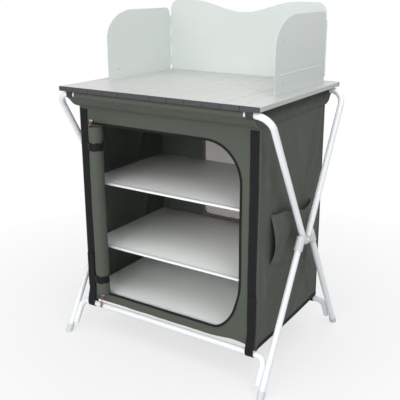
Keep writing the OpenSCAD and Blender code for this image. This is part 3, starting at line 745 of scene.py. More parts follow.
class CAMPKITCHEN_OT_mouldings(bpy.types.Operator):
    """Makes the hub arms, foot plugs, bar clips and slimmer boards with rounded or eased edges"""

    bl_idname = "camp_kitchen.mouldings"
    bl_label = "Mouldings"

    def execute(self, context):
        homes = (
            ("hub_outer_left", "front"), ("hub_outer_right", "front"), ("hub_inner_left", "rear"),
            ("hub_inner_right", "rear"), ("front_feet", "rear"), ("rear_feet", "front"),
            ("front_saddles", "front"), ("rear_saddles", "rear"))
        for node_name, end in homes:
            slot = next(slot for slot in ("saddle", "feet", "hub") if slot in node_name).replace("feet", "foot")
            clip = slot == "saddle"
            piece = moulded_copy(f"moulded_{node_name}", node_name, 0.0007 if clip else 0.0008)
            dress(piece, "Black Moulding" if clip else "Grey Moulding", f"{end}_top_frame", slot, node_name)
        for level in ("middle", "top"):
            for part, slot, finish in (("shelf", "shelf_board", "Shelf Laminate"),
                                       ("shelf_trim", "shelf_trim", "White Channel")):
                piece = slim_copy(f"slim_{level}_{part}", f"{level}_{part}")
                dress(piece, finish, f"{level}_board", slot, f"{level}_{part}")
        return {"FINISHED"}


# ---- Operators: the cloth cabinet ----------------------------------------------------


class CAMPKITCHEN_OT_front_cloth(bpy.types.Operator):
    """Makes the front cloth with its arched doorway and curved hem"""

    bl_idname = "camp_kitchen.front_cloth"
    bl_label = "Front Cloth"

    def execute(self, context):
        cloth = context.scene.camp_kitchen_cloth
        low, wrap, hem = FRONT_LOW, 0.008, 0.010
        width, height = CLOTH_RIGHT - CLOTH_LEFT + 2 * wrap, SEAM_Z - low + hem
        piece = new_sheet("front_cloth", width, height, 0.006)

        def lay(x, y, z):
            x, z = x + CLOTH_LEFT - wrap, z + low - hem
            if abs(abs(x) - CLOTH_RIGHT) < 0.003:
                x = math.copysign(CLOTH_RIGHT, x)
            return (x, 0, low if abs(z - low) < 0.003 else z)

        shape(piece, lay)
        cut_away(piece, lambda x, y, z: in_door(cloth, x, z))
        outline = door_outline(cloth, 0.0)
        snap_rim(piece, outline + [outline[0]])

        def hang(x, y, z):
            """Turns the side allowances round the corners and the hem up behind."""
            past, under = max(0.0, abs(x) - CLOTH_RIGHT), max(0.0, low - z)
            x = math.copysign(min(abs(x), CLOTH_RIGHT + 0.0007), x)
            z = max(z, low) + under
            drop = (front_hem(x) - low) * (1 - ramp(z, low, 0.165))
            back = past + (0.0022 if under else 0.0)
            return (x, FRONT_Y + 0.001 + front_relief(cloth, x, z) + back, z + drop)

        shape(piece, hang)
        sew(piece, cloth.thickness, "Cabinet Cloth", "cabinet_front_cloth")
        return {"FINISHED"}


# Folds that hang in both side cloths: start and end as (y, z), width, depth
SIDE_CREASES = (
    ((-0.186, 0.745), (-0.166, 0.540), 0.008, 0.0085), ((-0.155, 0.765), (-0.128, 0.590), 0.013, -0.0070),
    ((-0.120, 0.770), (-0.060, 0.600), 0.011, 0.0055), ((0.195, 0.770), (0.120, 0.600), 0.011, 0.0065),
    ((0.160, 0.760), (0.075, 0.560), 0.013, -0.0050), ((0.010, 0.760), (0.030, 0.630), 0.016, 0.0045),
    ((-0.190, 0.430), (-0.168, 0.210), 0.009, 0.0085), ((-0.060, 0.330), (-0.185, 0.180), 0.010, 0.0080),
    ((-0.085, 0.360), (-0.160, 0.280), 0.008, -0.0065), ((0.060, 0.320), (0.165, 0.165), 0.012, 0.0060),
    ((0.150, 0.430), (0.060, 0.230), 0.011, -0.0060), ((0.000, 0.310), (-0.080, 0.140), 0.011, 0.0062),
    ((0.110, 0.300), (0.020, 0.130), 0.012, 0.0045))


def side_bulge(side, across, z, cloth):
    """How far a side cloth stands out of its plane: a soft belly, creases and a drag from the pocket."""
    span = BACK_Y - FRONT_Y
    u, v = (across - FRONT_Y) / span, (z - 0.114) / (SEAM_Z - 0.114)
    held = arch(u) * arch(0.12 + 0.88 * v)
    belly = 0.0065 * held
    front = ramp(-across, 0.05, 0.2)
    upright = wrinkle(across, side * 4.0, z * 0.16, 0.036, 2.0) * cloth.slack * 1.1 * front * ramp(z, 0.3, 0.7)
    slant = wrinkle(across + z * 0.55, side * 2.0, (z - across) * 0.25, 0.07, 6.0) * cloth.slack * 1.1
    slant *= ramp(z, 0.12, 0.3) * (1 - ramp(z, 0.5, 0.7) * 0.55)
    fine = noise.noise(Vector((across * 30, side, z * 22))) * cloth.slack * 0.25
    calm = min(ramp(u, 0.0, 0.06), ramp(1 - u, 0.0, 0.06), ramp(v, 0.0, 0.04) + 0.25, ramp(1 - v, 0.0, 0.05))
    drag = 0.0
    for start, end, wide, depth in SIDE_CREASES:
        drag += crease(across, z, start, end, wide, depth)
    return max(-0.0005, belly + (upright + slant * held + fine + drag) * calm)


class CAMPKITCHEN_OT_side_cloths(bpy.types.Operator):
    """Makes the two side cloths, with the piping down their front and back edges"""

    bl_idname = "camp_kitchen.side_cloths"
    bl_label = "Side Cloths"

    def execute(self, context):
        cloth = context.scene.camp_kitchen_cloth
        low = SIDE_LOW
        depth, height = BACK_Y - FRONT_Y - 2 * SIDE_INSET, SEAM_Z - low
        for side, name in ((-1, "left"), (1, "right")):
            piece = new_sheet(f"{name}_cloth", depth, height, 0.006)
            start = FRONT_Y + SIDE_INSET

            def stand(x, y, z):
                across = start + (x if side > 0 else depth - x)
                out = SIDE_PLANE + side_bulge(side, across, z + low, cloth)
                return (side * out, across, z + low)

            shape(piece, stand)
            sew(piece, cloth.thickness, "Cabinet Cloth", f"cabinet_{name}_cloth")
        pipes = []
        for side in (-1, 1):
            for across in (FRONT_Y + 0.007, BACK_Y - 0.007):
                heights = [0.118 + i * 0.0166 for i in range(41)]
                path = [((side * (CLOTH_RIGHT - 0.0004 + side_bulge(side, across, z, cloth)), across, z),
                         (0, side, 0)) for z in heights]
                pipes.append(ribbon("pipe", path, 0.004, 0.008, 6,
                                    lambda s, v: -0.0015 * arch(v)))
        piping = join("side_piping", pipes)
        sew(piping, 0.0005, "Cabinet Cloth", angle=60)
        return {"FINISHED"}


class CAMPKITCHEN_OT_back_and_floor(bpy.types.Operator):
    """Makes the back cloth, the net in its window and the floor cloth"""

    bl_idname = "camp_kitchen.back_and_floor"
    bl_label = "Back and Floor"

    def execute(self, context):
        cloth = context.scene.camp_kitchen_cloth
        width, low = CLOTH_RIGHT - CLOTH_LEFT, BACK_LOW
        (left, _, bottom), (right, _, top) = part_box("mesh_window")
        r = 0.022

        def open_there(x, y, z):
            return math.hypot(max(left + r - x, x - right + r, 0), max(bottom + r - z, z - top + r, 0)) < r

        outline = []
        for cx, cz, turn in ((right - r, top - r, 0), (left + r, top - r, 1), (left + r, bottom + r, 2),
                             (right - r, bottom + r, 3)):
            for i in range(9):
                a = HALF_TURN / 2 * (turn + i / 8)
                outline.append((cx + r * math.cos(a), cz + r * math.sin(a)))
        outline.append(outline[0])
        piece = new_sheet("back_cloth", width, SEAM_Z - low, 0.0075)
        shape(piece, lambda x, y, z: (CLOTH_RIGHT - x, 0, z + low))
        cut_away(piece, open_there)
        snap_rim(piece, outline)

        def back(x, z):
            calm = min(ramp(0.297 - abs(x), 0.0, 0.03), ramp(z, low, 0.15) + 0.3, ramp(SEAM_Z - z, 0.0, 0.04))
            return BACK_Y - 0.0012 + 0.003 * arch(ramp(z, 0.1, 0.78)) * calm \
                + wrinkle(x, 2.0, z * 0.6, 0.09, 11.0) * cloth.slack * 0.7 * calm

        shape(piece, lambda x, y, z: (x, back(x, z), z))
        sew(piece, cloth.thickness, "Cabinet Cloth", "cabinet_back_cloth")
        net_width, net_height = right - left + 0.012, top - bottom + 0.012
        net = new_sheet("window_net", net_width, net_height, 0.012)
        shape(net, lambda x, y, z: (left - 0.006 + x, back(left - 0.006 + x, bottom - 0.006 + z) - 0.0013,
                                    bottom - 0.006 + z))
        sew(net, 0.0003, "Window Net", "mesh_window", slot="mesh")
        points = [Vector((x, back(x, z) + 0.0015, z)) for x, z in outline]
        middle = Vector(((left + right) / 2, 0, (bottom + top) / 2))
        path = [(p, (p - middle) * Vector((1, 0, 1))) for p in points]
        tape = ribbon("window_tape", path, TAPE_WIDTH, 0.008, 3)
        sew(tape, 0.0009, "Sewn Tape", slot="webbing")
        floor_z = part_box("cabinet_floor_cloth")[1][2] - 0.0008
        span = BACK_Y - FRONT_Y - 0.006
        floor = new_sheet("floor_cloth", width - 0.006, span, 0.012)

        def lie(x, y, z):
            place_x, place_y = x + CLOTH_LEFT + 0.003, z + FRONT_Y + 0.003
            sag = arch(x / (width - 0.006)) * arch(z / span)
            soft = wrinkle(place_x, place_y, 0, 0.12, 4.0) * 0.0012 * sag
            return (place_x, place_y, floor_z - 0.004 * sag + soft)

        shape(floor, lie)
        sew(floor, cloth.thickness, "Cabinet Cloth", "cabinet_floor_cloth")
        return {"FINISHED"}


def skirt_belly(up):
    """How far the skirt swells between its seam (0) and the sleeve (1)."""
    return 0.006 * arch(up) + 0.003 * math.sin(2 * HALF_TURN * up)


def seam_tuck(up, depth):
    """How far the skirt's lower edge stands out over the cloth that it is sewn to."""
    return depth * math.exp(-(up / 0.10) ** 2)


class CAMPKITCHEN_OT_skirt(bpy.types.Operator):
    """Makes the flared skirt between the seam and the top, and the sleeves round the top bars"""

    bl_idname = "camp_kitchen.skirt"
    bl_label = "Skirt and Sleeves"

    def execute(self, context):
        cloth = context.scene.camp_kitchen_cloth
        sleeve_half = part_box("front_bar_sleeve")[1][0]
        wrap = TUBE_R + 0.0013
        for facing, seam_y, name in ((-1, FRONT_Y, "front"), (1, BACK_Y, "rear")):
            flare = abs(BAR_Y) + wrap - abs(seam_y)
            width, height = CLOTH_RIGHT - CLOTH_LEFT, math.hypot(SKIRT_RISE, flare) + 0.004
            piece = new_sheet(f"skirt_{name}", width, height, 0.005)

            def lean_out(x, y, z):
                v = z / height
                place = (x + CLOTH_LEFT) * -facing
                place *= 1.007 + 0.006 * v
                gather = wrinkle(place, facing, v * 0.05, 0.045, 9.0) * cloth.slack * 0.8 * arch(v)
                belly, tuck = skirt_belly(v), seam_tuck(v, FRONT_TUCK)
                drop = -0.0025 * arch(x / width) * v * (1 - v) * 4
                return (place, facing * (abs(seam_y) + flare * v ** 1.15 + belly * 0.6 + gather + tuck),
                        SEAM_Z - 0.002 + SKIRT_RISE * v - belly * 0.5 + drop)

            shape(piece, lean_out)
            self.sew_skirt(context, piece, height)
            if facing < 0:
                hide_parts("skirt")
            around = 2 * HALF_TURN * wrap
            sleeve = new_sheet(f"{name}_bar_sleeve_cloth", 2 * sleeve_half, around, cells=(150, 28))

            def wrap_bar(x, y, z):
                a = 2 * HALF_TURN * z / around
                place = x - sleeve_half
                creased = wrinkle(place, math.cos(a) * 0.02, math.sin(a) * 0.02, 0.022, 1.0)
                r = wrap + 0.0006 + 0.0011 * (0.5 + 0.5 * creased)
                return (place, facing * (abs(BAR_Y) + r * math.cos(a)), BAR_Z + r * math.sin(a))

            shape(sleeve, wrap_bar)
            face_out(sleeve)
            thicken(sleeve, cloth.thickness * 0.8, offset=-1)
            smooth(sleeve)
            dress(sleeve, "Cabinet Cloth", f"{name}_top_frame", "cloth", f"{name}_bar_sleeve")
        top = SLAT_UNDER - 0.003
        for side, name in ((-1, "left"), (1, "right")):
            depth, rise = BACK_Y - FRONT_Y, top - SEAM_Z
            height = math.hypot(rise, 0.02)
            piece = new_sheet(f"skirt_{name}", depth, height, 0.005)

            def flare_out(x, y, z):
                u, v = x / depth, z / height
                u = u if side > 0 else 1 - u
                seam_y = FRONT_Y if u < 0.5 else BACK_Y
                up = min(1.0, rise * v / SKIRT_RISE)
                belly = skirt_belly(up)
                up = min(1.0, up + 0.5 * belly / SKIRT_RISE)
                forward = min(0.036, (abs(BAR_Y) + TUBE_R - abs(seam_y)) * up ** 1.15 + 0.6 * belly
                              + seam_tuck(up, FRONT_TUCK) + 0.0009)
                across = FRONT_Y + depth * u + forward * (2 * u - 1)
                fold = wrinkle(across, side * 3.0, v * 0.06, 0.05, 12.0) * cloth.slack * 1.2 * arch(v * 1.1)
                sag = 0.004 * arch(v)
                inner = min(ramp(u, 0.0, 0.09), ramp(1 - u, 0.0, 0.09))
                out = CLOTH_RIGHT + 0.003 * v + (fold + sag - 0.026 * v ** 0.9) * inner + seam_tuck(v, SIDE_TUCK)
                return (side * out, across, SEAM_Z - 0.002 + rise * v - 0.003 * arch(u) * (1 - v) * v * 4)

            shape(piece, flare_out)
            self.sew_skirt(context, piece, height)
        return {"FINISHED"}

    def sew_skirt(self, context, piece, height):
        """Finishes a side of the skirt, with a row of stitches along its seam and its top edge."""
        finish = piece.name.replace("skirt_", "Skirt Cloth ")
        woven_cloth(finish, context.scene.camp_kitchen_colours.cloth, sewn=(height, 0.0035))
        sew(piece, context.scene.camp_kitchen_cloth.thickness, finish, fold=SKIRT_FOLD)


class CAMPKITCHEN_OT_straps_and_binding(bpy.types.Operator):
    """Makes the corner straps with their loops round the crossbars, and the binding on the hems"""

    bl_idname = "camp_kitchen.straps_and_binding"
    bl_label = "Straps and Binding"

    def execute(self, context):
        cloth = context.scene.camp_kitchen_cloth
        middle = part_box("corner_webbing")[1][0] - STRAP_WIDTH / 2
        for facing, face, name in ((-1, FRONT_Y, "front"), (1, BACK_Y, "rear")):
            bar, r = facing * CROSSBAR_Y, TUBE_R + 0.0016
            strips = []
            for side in (-1, 1):
                x = side * middle
                out = face + facing * 0.0022
                path = [Vector((x, out - facing * 0.0004, SEAM_Z - 0.010)), Vector((x, out, 0.60)),
                        Vector((x, out, 0.35)), Vector((x, out, 0.16))]
                path[1].x += side * 0.0012
                path[2].x -= side * 0.0010
                loop = []
                for i in range(13):
                    a = HALF_TURN * (0.02 - 1.04 * i / 12)
                    loop.append(Vector((x, bar + facing * r * math.cos(a), CROSSBAR_Z + r * math.sin(a))))
                path += [Vector((x, bar + facing * r, CROSSBAR_Z + 0.012))] + loop
                path += [Vector((x, face - facing * 0.0045, CROSSBAR_Z + 0.020)),
                         Vector((x, face - facing * 0.0040, 0.15))]
                aim = (1, 0, 0) if facing < 0 else (-1, 0, 0)
                strips.append(ribbon("strap", [(p, aim) for p in bend(path, 0.01, 4)], STRAP_WIDTH, 0.004, 6,
                                     lambda s, v: 0.0003 * math.sin(2 * HALF_TURN * v)
                                     + 0.0005 * math.sin(s * 60)))
                patch = [(Vector((x + side * 0.0015, out + facing * 0.0016, z)), aim)
                         for z in (0.285, 0.25, 0.20, 0.165)]
                strips.append(ribbon("patch", patch, STRAP_WIDTH, 0.006, 4))
            straps = join(f"{name}_corner_straps", strips)
            sew(straps, 0.0013, "Sewn Strap", slot="webbing")
            if facing < 0:
                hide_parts("corner_webbing")
        edge_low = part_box("hem_binding")[0][2]
        bindings = []
        depth = BACK_Y - FRONT_Y - 2 * SIDE_INSET
        for side in (-1, 1):
            binding = new_sheet("binding", depth, BINDING_WIDTH, cells=(72, 10))

            def fold_over(x, y, z):
                across = FRONT_Y + SIDE_INSET + (x if side > 0 else depth - x)
                half = z - BINDING_WIDTH / 2
                turn = max(-1.0, min(1.0, half / 0.0022))
                up = max(0.0, abs(half) - 0.0022)
                bottom = edge_low + 0.0006
                out = SIDE_PLANE + side_bulge(side, across, bottom + up + 0.001, cloth)
                a = turn * HALF_TURN / 2
                return (side * (out - 0.0019 * math.sin(a)), across, bottom + up + 0.0014 * (1 - math.cos(a)))

            shape(binding, fold_over)
            bindings.append(binding)
        binding = join("hem_tape", bindings)
        face_out(binding)
        sew(binding, 0.0008, "Webbing", "hem_binding", slot="webbing", angle=60)
        return {"FINISHED"}


class CAMPKITCHEN_OT_pocket(bpy.types.Operator):
    """Makes the side pocket: a slack patch of cloth whose top edge gapes"""

    bl_idname = "camp_kitchen.pocket"
    bl_label = "Side Pocket"

    def execute(self, context):
        cloth = context.scene.camp_kitchen_cloth
        (_, front, bottom), (_, back, top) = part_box("side_pocket")
        width, height = 0.285, 0.170
        piece = new_sheet("pocket_cloth", width, height, 0.004)
        rim = ((0.0, 0.538), (0.18, 0.520), (0.42, 0.503), (0.70, 0.490), (0.86, 0.488), (1.0, 0.494))
        folds = (
            ((-0.112, 0.452), (-0.150, 0.385), 0.0065, -0.014),
            ((-0.098, 0.462), (-0.128, 0.380), 0.008, 0.009),
            ((-0.150, 0.500), (-0.130, 0.440), 0.009, 0.007), ((-0.020, 0.480), (-0.060, 0.380), 0.010, -0.009),
            ((0.030, 0.470), (-0.010, 0.370), 0.010, 0.008), ((0.085, 0.480), (0.050, 0.400), 0.009, -0.007))

        def rim_height(u):
            for (u0, z0), (u1, z1) in zip(rim, rim[1:]):
                if u <= u1:
                    return z0 + (z1 - z0) * ramp(u, u0, u1)
            return rim[-1][1]

        def hang(x, y, z):
            u, v = x / width, z / height
            across = front + (back - front) * u
            low = bottom + 0.012 * (2 * u - 1) ** 4 + 0.026 * (1 - u) ** 3
            upper = min(top - 0.001, rim_height(u) - 0.002)
            height_here = low + (upper - low) * v
            open_out = arch(u) ** (0.5 + 0.4 * u) * ramp(v, 0.0, 0.95) ** 0.9 * 0.0205
            fold = sum(crease(across, height_here, *line) for line in folds)
            soft = wrinkle(across, 5.0, height_here * 0.8, 0.05, 15.0) * cloth.slack * 0.8 * arch(u) \
                * (0.25 + 0.75 * v)
            gape = 0.0175 * arch(v ** 0.8) * (1 - ramp(u, 0.0, 0.26))
            edge = max(0.0, open_out + gape + fold * arch(u) ** 0.5 + soft * 0.7)
            base = CLOTH_RIGHT + 0.0004 + side_bulge(1, across, height_here, cloth)
            return (min(CLOTH_RIGHT + 0.030, base + edge), across, height_here)

        shape(piece, hang)
        sew(piece, cloth.thickness, "Cabinet Cloth", "side_pocket", offset=1)
        path = []
        for i in range(41):
            u = i / 40
            place = Vector(hang(u * width, 0, height * 0.985))
            path.append((place + Vector((0.0016, 0, -0.003)), (0, 0, 1)))
        hem = ribbon("pocket_hem", path, TAPE_WIDTH, 0.006, 3)
        woven_cloth("Sewn Hem", context.scene.camp_kitchen_colours.cloth, sewn=(TAPE_WIDTH, 0.0022))
        sew(hem, 0.0008, "Sewn Hem")
        return {"FINISHED"}


class CAMPKITCHEN_OT_door_roll(bpy.types.Operator):
    """Rolls up the door and puts its two straps round it"""

    bl_idname = "camp_kitchen.door_roll"
    bl_label = "Door Roll"

    def execute(self, context):
        low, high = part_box("door_roll")
        straps = [(a + b) / 2 for a, b in ((0.2045, 0.2295), (0.6535, 0.6785))]
        centre_x, outer = high[0] - 0.023, 0.0222
        centre_y = low[1] + 0.023
        back_y = FRONT_Y - 0.0012
        inner, turns = 0.0065, 5.75
        end = HALF_TURN / 2
        flap = centre_x - low[0]
        rolled = 2 * HALF_TURN * turns * (inner + outer) / 2
        width, height = rolled + flap, high[2] - low[2]
        piece = new_sheet("door_roll_cloth", width, height, cells=(230, 84))

        def pinch(z):
            return sum(math.exp(-((z - strap) / 0.020) ** 2) for strap in straps)

        def roll(x, y, z):
            height_here = low[2] + z
            if x > rolled:
                along = x - rolled
                r_end = outer * (1 - 0.05 * pinch(height_here))
                y_end = centre_y + r_end
                t = ramp(along, 0.0, flap * 0.5)
                return (centre_x - along, y_end * (1 - t) + back_y * t, height_here)
            # the radius grows evenly, so the length run so far gives the angle
            grow = (outer - inner) / (2 * HALF_TURN * turns)
            angle = (-inner + math.sqrt(inner ** 2 + 2 * grow * x)) / grow
            r = inner + grow * angle
            a = end - (2 * HALF_TURN * turns - angle)
            share = r / outer
            lumps = wrinkle(math.cos(a) * 0.03, math.sin(a) * 0.03, height_here * 0.35, 0.045, 21.0) * 0.0011
            r *= 1 - 0.09 * pinch(height_here) * share
            r += lumps * share * (1 - 0.6 * pinch(height_here))
            r = min(r, 0.0229)
            end_share = (1 if z > height / 2 else -0.6) * abs(2 * z / height - 1) ** 6
            rag = (1 - share) * 0.006 * math.sin(a * 0.5) * end_share
            lean = 0.0012 * math.sin(height_here * 9)
            return (centre_x + r * math.cos(a) + lean, centre_y + r * math.sin(a), height_here + rag)

        shape(piece, roll)
        sew(piece, 0.0011, "Cabinet Cloth", "door_roll", angle=60)
        width * 1.01
        bands = []

        def around(r, a, z):
            return Vector((centre_x + r * math.cos(a), centre_y + r * math.sin(a), z))

        for strap in straps:
            r = outer * 0.93 + 0.0016
            path = [Vector((centre_x - 0.046, back_y - 0.0018, strap)),
                    Vector((centre_x - 0.030, back_y - 0.0035, strap))]
            for i in range(25):
                a = math.radians(188 + 232 * i / 24)
                path.append(around(r, a, strap + 0.0012 * math.sin(i)))
            bands.append(ribbon("band", [(p, (0, 0, 1)) for p in path], 0.025, 0.004, 5,
                                lambda s, v: 0.0006 * math.sin(s * 150) * (v - 0.5)))
            tongue = []
            for i in range(9):
                a = math.radians(205 + 62 * i / 8)
                tongue.append(around(r + 0.0017, a, strap))
            bands.append(ribbon("tongue", [(p, (0, 0, 1)) for p in tongue], 0.021, 0.004, 4))
        bands = join("roll_strap_bands", bands)
        sew(bands, 0.0011, "Webbing", "roll_straps", slot="webbing")
        return {"FINISHED"}


class CAMPKITCHEN_OT_zip(bpy.types.Operator):
    """Makes the zip round the doorway: its tape, its coil of teeth and two sliders with pulls"""

    bl_idname = "camp_kitchen.zip"
    bl_label = "Zip"

    def execute(self, context):
        cloth = context.scene.camp_kitchen_cloth

        def track(grow, lift):
            points = door_outline(cloth, grow)
            path = []
            for i, (x, z) in enumerate(points):
                x0, z0 = points[max(0, i - 1)]
                x1, z1 = points[min(len(points) - 1, i + 1)]
                ahead = Vector((x1 - x0, 0, z1 - z0)).normalized()
                across = Vector((-ahead.z, 0, ahead.x))
                path.append((Vector((x, FRONT_Y - lift, z)), across))
            fine = []
            for (p0, a0), (p1, a1) in zip(path, path[1:]):
                parts = max(1, int((p1 - p0).length / 0.02))
                for i in range(parts):
                    fine.append((p0.lerp(p1, i / parts), a0.lerp(a1, i / parts)))
            fine.append(path[-1])
            return [(Vector((p.x, p.y + front_relief(cloth, p.x, p.z), p.z)), a) for p, a in fine]

        tape = ribbon("zip_tape_cloth", track(0.0016, 0.0004), 0.0074, 0.006, 4)
        sew(tape, 0.0008, "Zip Tape", "zip_tape", slot="webbing")
        coil = ribbon("zip_coil", track(0.0006, 0.0009), 0.0040, 0.0011, 4,
                      lambda s, v: -arch(v) * (0.0009 + 0.0005 * math.sin(s * HALF_TURN / 0.0022)))
        sew(coil, 0.0004, "Zip Tape", slot="webbing", angle=60)
        for level in ("upper", "lower"):
            low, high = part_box(f"{level}_zip_slider")
            slider = self.make_slider(f"{level}_slider", low, high)
            dress(slider, "Plated Steel", "cabinet", "bright_metal", f"{level}_zip_slider", fold=FOLD)
            pull = self.make_pull(f"{level}_pull_cord", level)
            dress(pull, "Pull Cord", f"{level}_pull", "zip_pull", f"{level}_zip_pull", fold=FOLD)
        return {"FINISHED"}

    def make_slider(self, name, low, high):
        """A waisted slider body with a bridge that the pull hangs on."""
        middle = [(a + b) / 2 for a, b in zip(low, high)]
        face_y = low[1] + 0.0036
        put_down()
        bpy.ops.mesh.primitive_cube_add(size=1, location=(middle[0], (face_y + high[1]) / 2, middle[2]))
        bpy.context.active_object.scale = (high[0] - low[0], high[1] - face_y, high[2] - low[2])
        body = settle(name)
        finish_with(body, "BEVEL", width=0.0011, segments=3)
        shape(body, lambda x, y, z: (
            x, y, middle[2] + (z - middle[2]) * (1 - 0.28 * math.cos((x - middle[0]) * 260))))
        put_down()
        bpy.ops.mesh.primitive_torus_add(
            location=(middle[0], face_y - 0.0008, middle[2]), rotation=(0, HALF_TURN / 2, 0),
            major_radius=0.0024, minor_radius=0.0007, major_segments=24, minor_segments=8)
        bridge = settle("bridge")
        made = join(name, [body, bridge])
        smooth(made, 45)
        return made

    def make_pull(self, name, level):
        """A loop of cord with a ribbed grip moulded on its end."""
        low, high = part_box(f"{level}_zip_pull")
        top = Vector(((low[0] + high[0]) / 2, 0, high[2] - 0.0008))
        lean = math.radians(14) if level == "lower" else 0.0
        pivot_y = high[1] - 0.0009 if level == "lower" else (low[1] + high[1]) / 2
        length, grip = 0.042, 0.020
        put_down()
        bpy.ops.mesh.primitive_cylinder_add(
            vertices=24, radius=0.0034, depth=grip, location=(0, 0, -length + grip / 2))
        handle = settle("grip")
        finish_with(handle, "BEVEL", width=0.0012, segments=3)
        open_up(handle)
        for i in range(1, 8):
            bpy.ops.mesh.bisect(plane_co=(0, 0, -length + grip * i / 8), plane_no=(0, 0, 1))
            bpy.ops.mesh.select_all(action="SELECT")
        bpy.ops.object.mode_set(mode="OBJECT")
        shape(handle, lambda x, y, z: (x * self.rib(z, length, grip), y * self.rib(z, length, grip), z))
        parts = [handle]
        for side in (-1, 1):
            put_down()
            bpy.ops.mesh.primitive_cylinder_add(
                vertices=12, radius=0.0008, depth=length - grip + 0.001,
                location=(side * 0.0022, 0, (grip - length) / 2 - 0.001))
            parts.append(settle("cord"))
        put_down()
        bpy.ops.mesh.primitive_torus_add(
            location=(0, 0, -0.0018), rotation=(HALF_TURN / 2, 0, 0),
            major_radius=0.0022, minor_radius=0.0008, major_segments=24, minor_segments=10)
        parts.append(settle("eye"))
        pull = join(name, parts)
        open_up(pull)
        bpy.ops.uv.smart_project(angle_limit=math.radians(66))
        bpy.ops.object.mode_set(mode="OBJECT")
        for corner in pull.data.uv_layers.active.data:
            corner.uv = corner.uv * 0.03
        shape(pull, lambda x, y, z: (
            top.x + x, pivot_y + y * math.cos(lean) + z * math.sin(lean),
            top.z + z * math.cos(lean) - y * math.sin(lean)))
        smooth(pull, 50)
        return pull

    def rib(self, z, length, grip):
        """Narrower at every other ring of the grip."""
        ring = round((z + length) / grip * 8)
        return 0.86 if ring % 2 == 0 and 0 < ring < 8 else 1.0


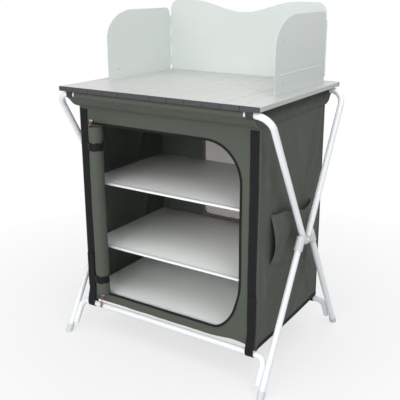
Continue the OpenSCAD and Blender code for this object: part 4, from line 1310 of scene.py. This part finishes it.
class CAMPKITCHEN_OT_stage(bpy.types.Operator):
    """Sets up the floor, the soft studio light and the camera"""

    bl_idname = "camp_kitchen.stage"
    bl_label = "Stage"

    def execute(self, context):
        scene = context.scene
        put_down()
        bpy.ops.mesh.primitive_plane_add(size=24, location=(0, 0, -0.0005))
        floor = settle("studio_floor")
        self.pale_floor(floor)
        self.white_world(scene)
        for name, place, aim, size, power, colour in (
                ("key_panel", (-1.5, -2.6, 2.4), (0, 0, 0.5), 2.0, 21, (1.0, 0.99, 0.97)),
                ("fill_panel", (2.1, -1.25, 3.1), (0, 0, 0.4), 2.0, 46, (0.98, 0.99, 1.0)),
                ("front_panel", (0.4, -3.0, 1.4), (0, 0, 0.5), 1.6, 38, (1.0, 1.0, 1.0)),
                ("top_panel", (0.1, 0.5, 3.2), (0, 0, 0.6), 2.6, 36, (1.0, 1.0, 1.0))):
            lamp = bpy.data.lights.new(name, "AREA")
            lamp.size, lamp.energy, lamp.color = size, power, colour
            holder = bpy.data.objects.new(name, lamp)
            scene.collection.objects.link(holder)
            holder.location = place
            holder.rotation_euler = (Vector(aim) - Vector(place)).to_track_quat("-Z", "Y").to_euler()
        lens = bpy.data.cameras.new("view")
        lens.lens, lens.sensor_width = 59.8, 36.0
        lens.shift_x, lens.shift_y = -0.0265, -0.0492
        lens.clip_end = 60
        camera = bpy.data.objects.new("view", lens)
        camera.location = (1.1368, -1.7568, 1.1569)
        camera.rotation_euler = (math.radians(73.4), 0, math.radians(32.17))
        scene.collection.objects.link(camera)
        scene.camera = camera
        scene.view_settings.view_transform = "Standard"
        return {"FINISHED"}

    def pale_floor(self, floor):
        """A floor that turns to plain white away from the table for whoever looks at it."""
        made = Finish("Pale Floor", 0.85)
        tree = made.tree
        made.feed(Base_Color=made.mottle((0.74, 0.74, 0.74), 1.5, 120.0, 0.01)["Colour"])
        rays = node(tree, "LightPath").outputs
        seen = sums(tree, "MAXIMUM", rays["Is Camera Ray"], rays["Is Transmission Ray"])
        away = Value(tree, node(tree, "VectorMath", made.place, operation="LENGTH").outputs["Value"])
        share = seen * (((away - 0.55) / 0.9).held() * 0.32 + 0.68)
        white = node(tree, "Emission", Color=(1, 1, 1), Strength=1.0)
        mixed = node(tree, "MixShader", share, made.shader.outputs[0], white.outputs[0])
        plug(tree, tree.nodes["Material Output"].inputs["Surface"], mixed.outputs[0])
        floor.data.materials.append(made.material)

    def white_world(self, scene):
        """A soft grey light all round that shows as plain white."""
        world = bpy.data.worlds.new("studio")
        scene.world = world
        world.use_nodes = True
        tree = world.node_tree
        lit = tree.nodes["Background"]
        plug(tree, lit.inputs["Color"], (0.95, 0.97, 1.0))
        plug(tree, lit.inputs["Strength"], 0.42)
        shown = node(tree, "Background", Color=(1, 1, 1), Strength=1.0)
        rays = node(tree, "LightPath").outputs
        seen = sums(tree, "MAXIMUM", rays["Is Camera Ray"], rays["Is Glossy Ray"])
        seen = seen.to("MAXIMUM", rays["Is Transmission Ray"])
        mixed = node(tree, "MixShader", seen, lit.outputs[0], shown.outputs[0])
        plug(tree, tree.nodes["World Output"].inputs["Surface"], mixed.outputs[0])


STEPS = (
    CAMPKITCHEN_OT_finishes, CAMPKITCHEN_OT_stage, CAMPKITCHEN_OT_mouldings, CAMPKITCHEN_OT_front_cloth,
    CAMPKITCHEN_OT_side_cloths, CAMPKITCHEN_OT_back_and_floor, CAMPKITCHEN_OT_skirt,
    CAMPKITCHEN_OT_straps_and_binding, CAMPKITCHEN_OT_pocket, CAMPKITCHEN_OT_door_roll, CAMPKITCHEN_OT_zip)


class CAMPKITCHEN_PT_sidebar(bpy.types.Panel):
    """Lists the sizes, the colours and the steps of the camp kitchen"""

    bl_idname = "CAMPKITCHEN_PT_sidebar"
    bl_label = "Camp Kitchen"
    bl_space_type = "VIEW_3D"
    bl_region_type = "UI"
    bl_category = "Camp Kitchen"

    def draw(self, context):
        for group in (context.scene.camp_kitchen_cloth, context.scene.camp_kitchen_colours):
            box = self.layout.box()
            for name in group.__annotations__:
                box.prop(group, name)
        for step in STEPS:
            self.layout.operator(step.bl_idname)


CLASSES = (CampKitchenCloth, CampKitchenColours, *STEPS, CAMPKITCHEN_PT_sidebar)


def register():
    for made in CLASSES:
        bpy.utils.register_class(made)
    bpy.types.Scene.camp_kitchen_cloth = bpy.props.PointerProperty(type=CampKitchenCloth)
    bpy.types.Scene.camp_kitchen_colours = bpy.props.PointerProperty(type=CampKitchenColours)


def unregister():
    del bpy.types.Scene.camp_kitchen_colours
    del bpy.types.Scene.camp_kitchen_cloth
    for made in reversed(CLASSES):
        bpy.utils.unregister_class(made)


def main():
    register()
    for step in STEPS:
        group, name = step.bl_idname.split(".")
        getattr(getattr(bpy.ops, group), name)()
    put_down()


if __name__ == "__main__":
    main()
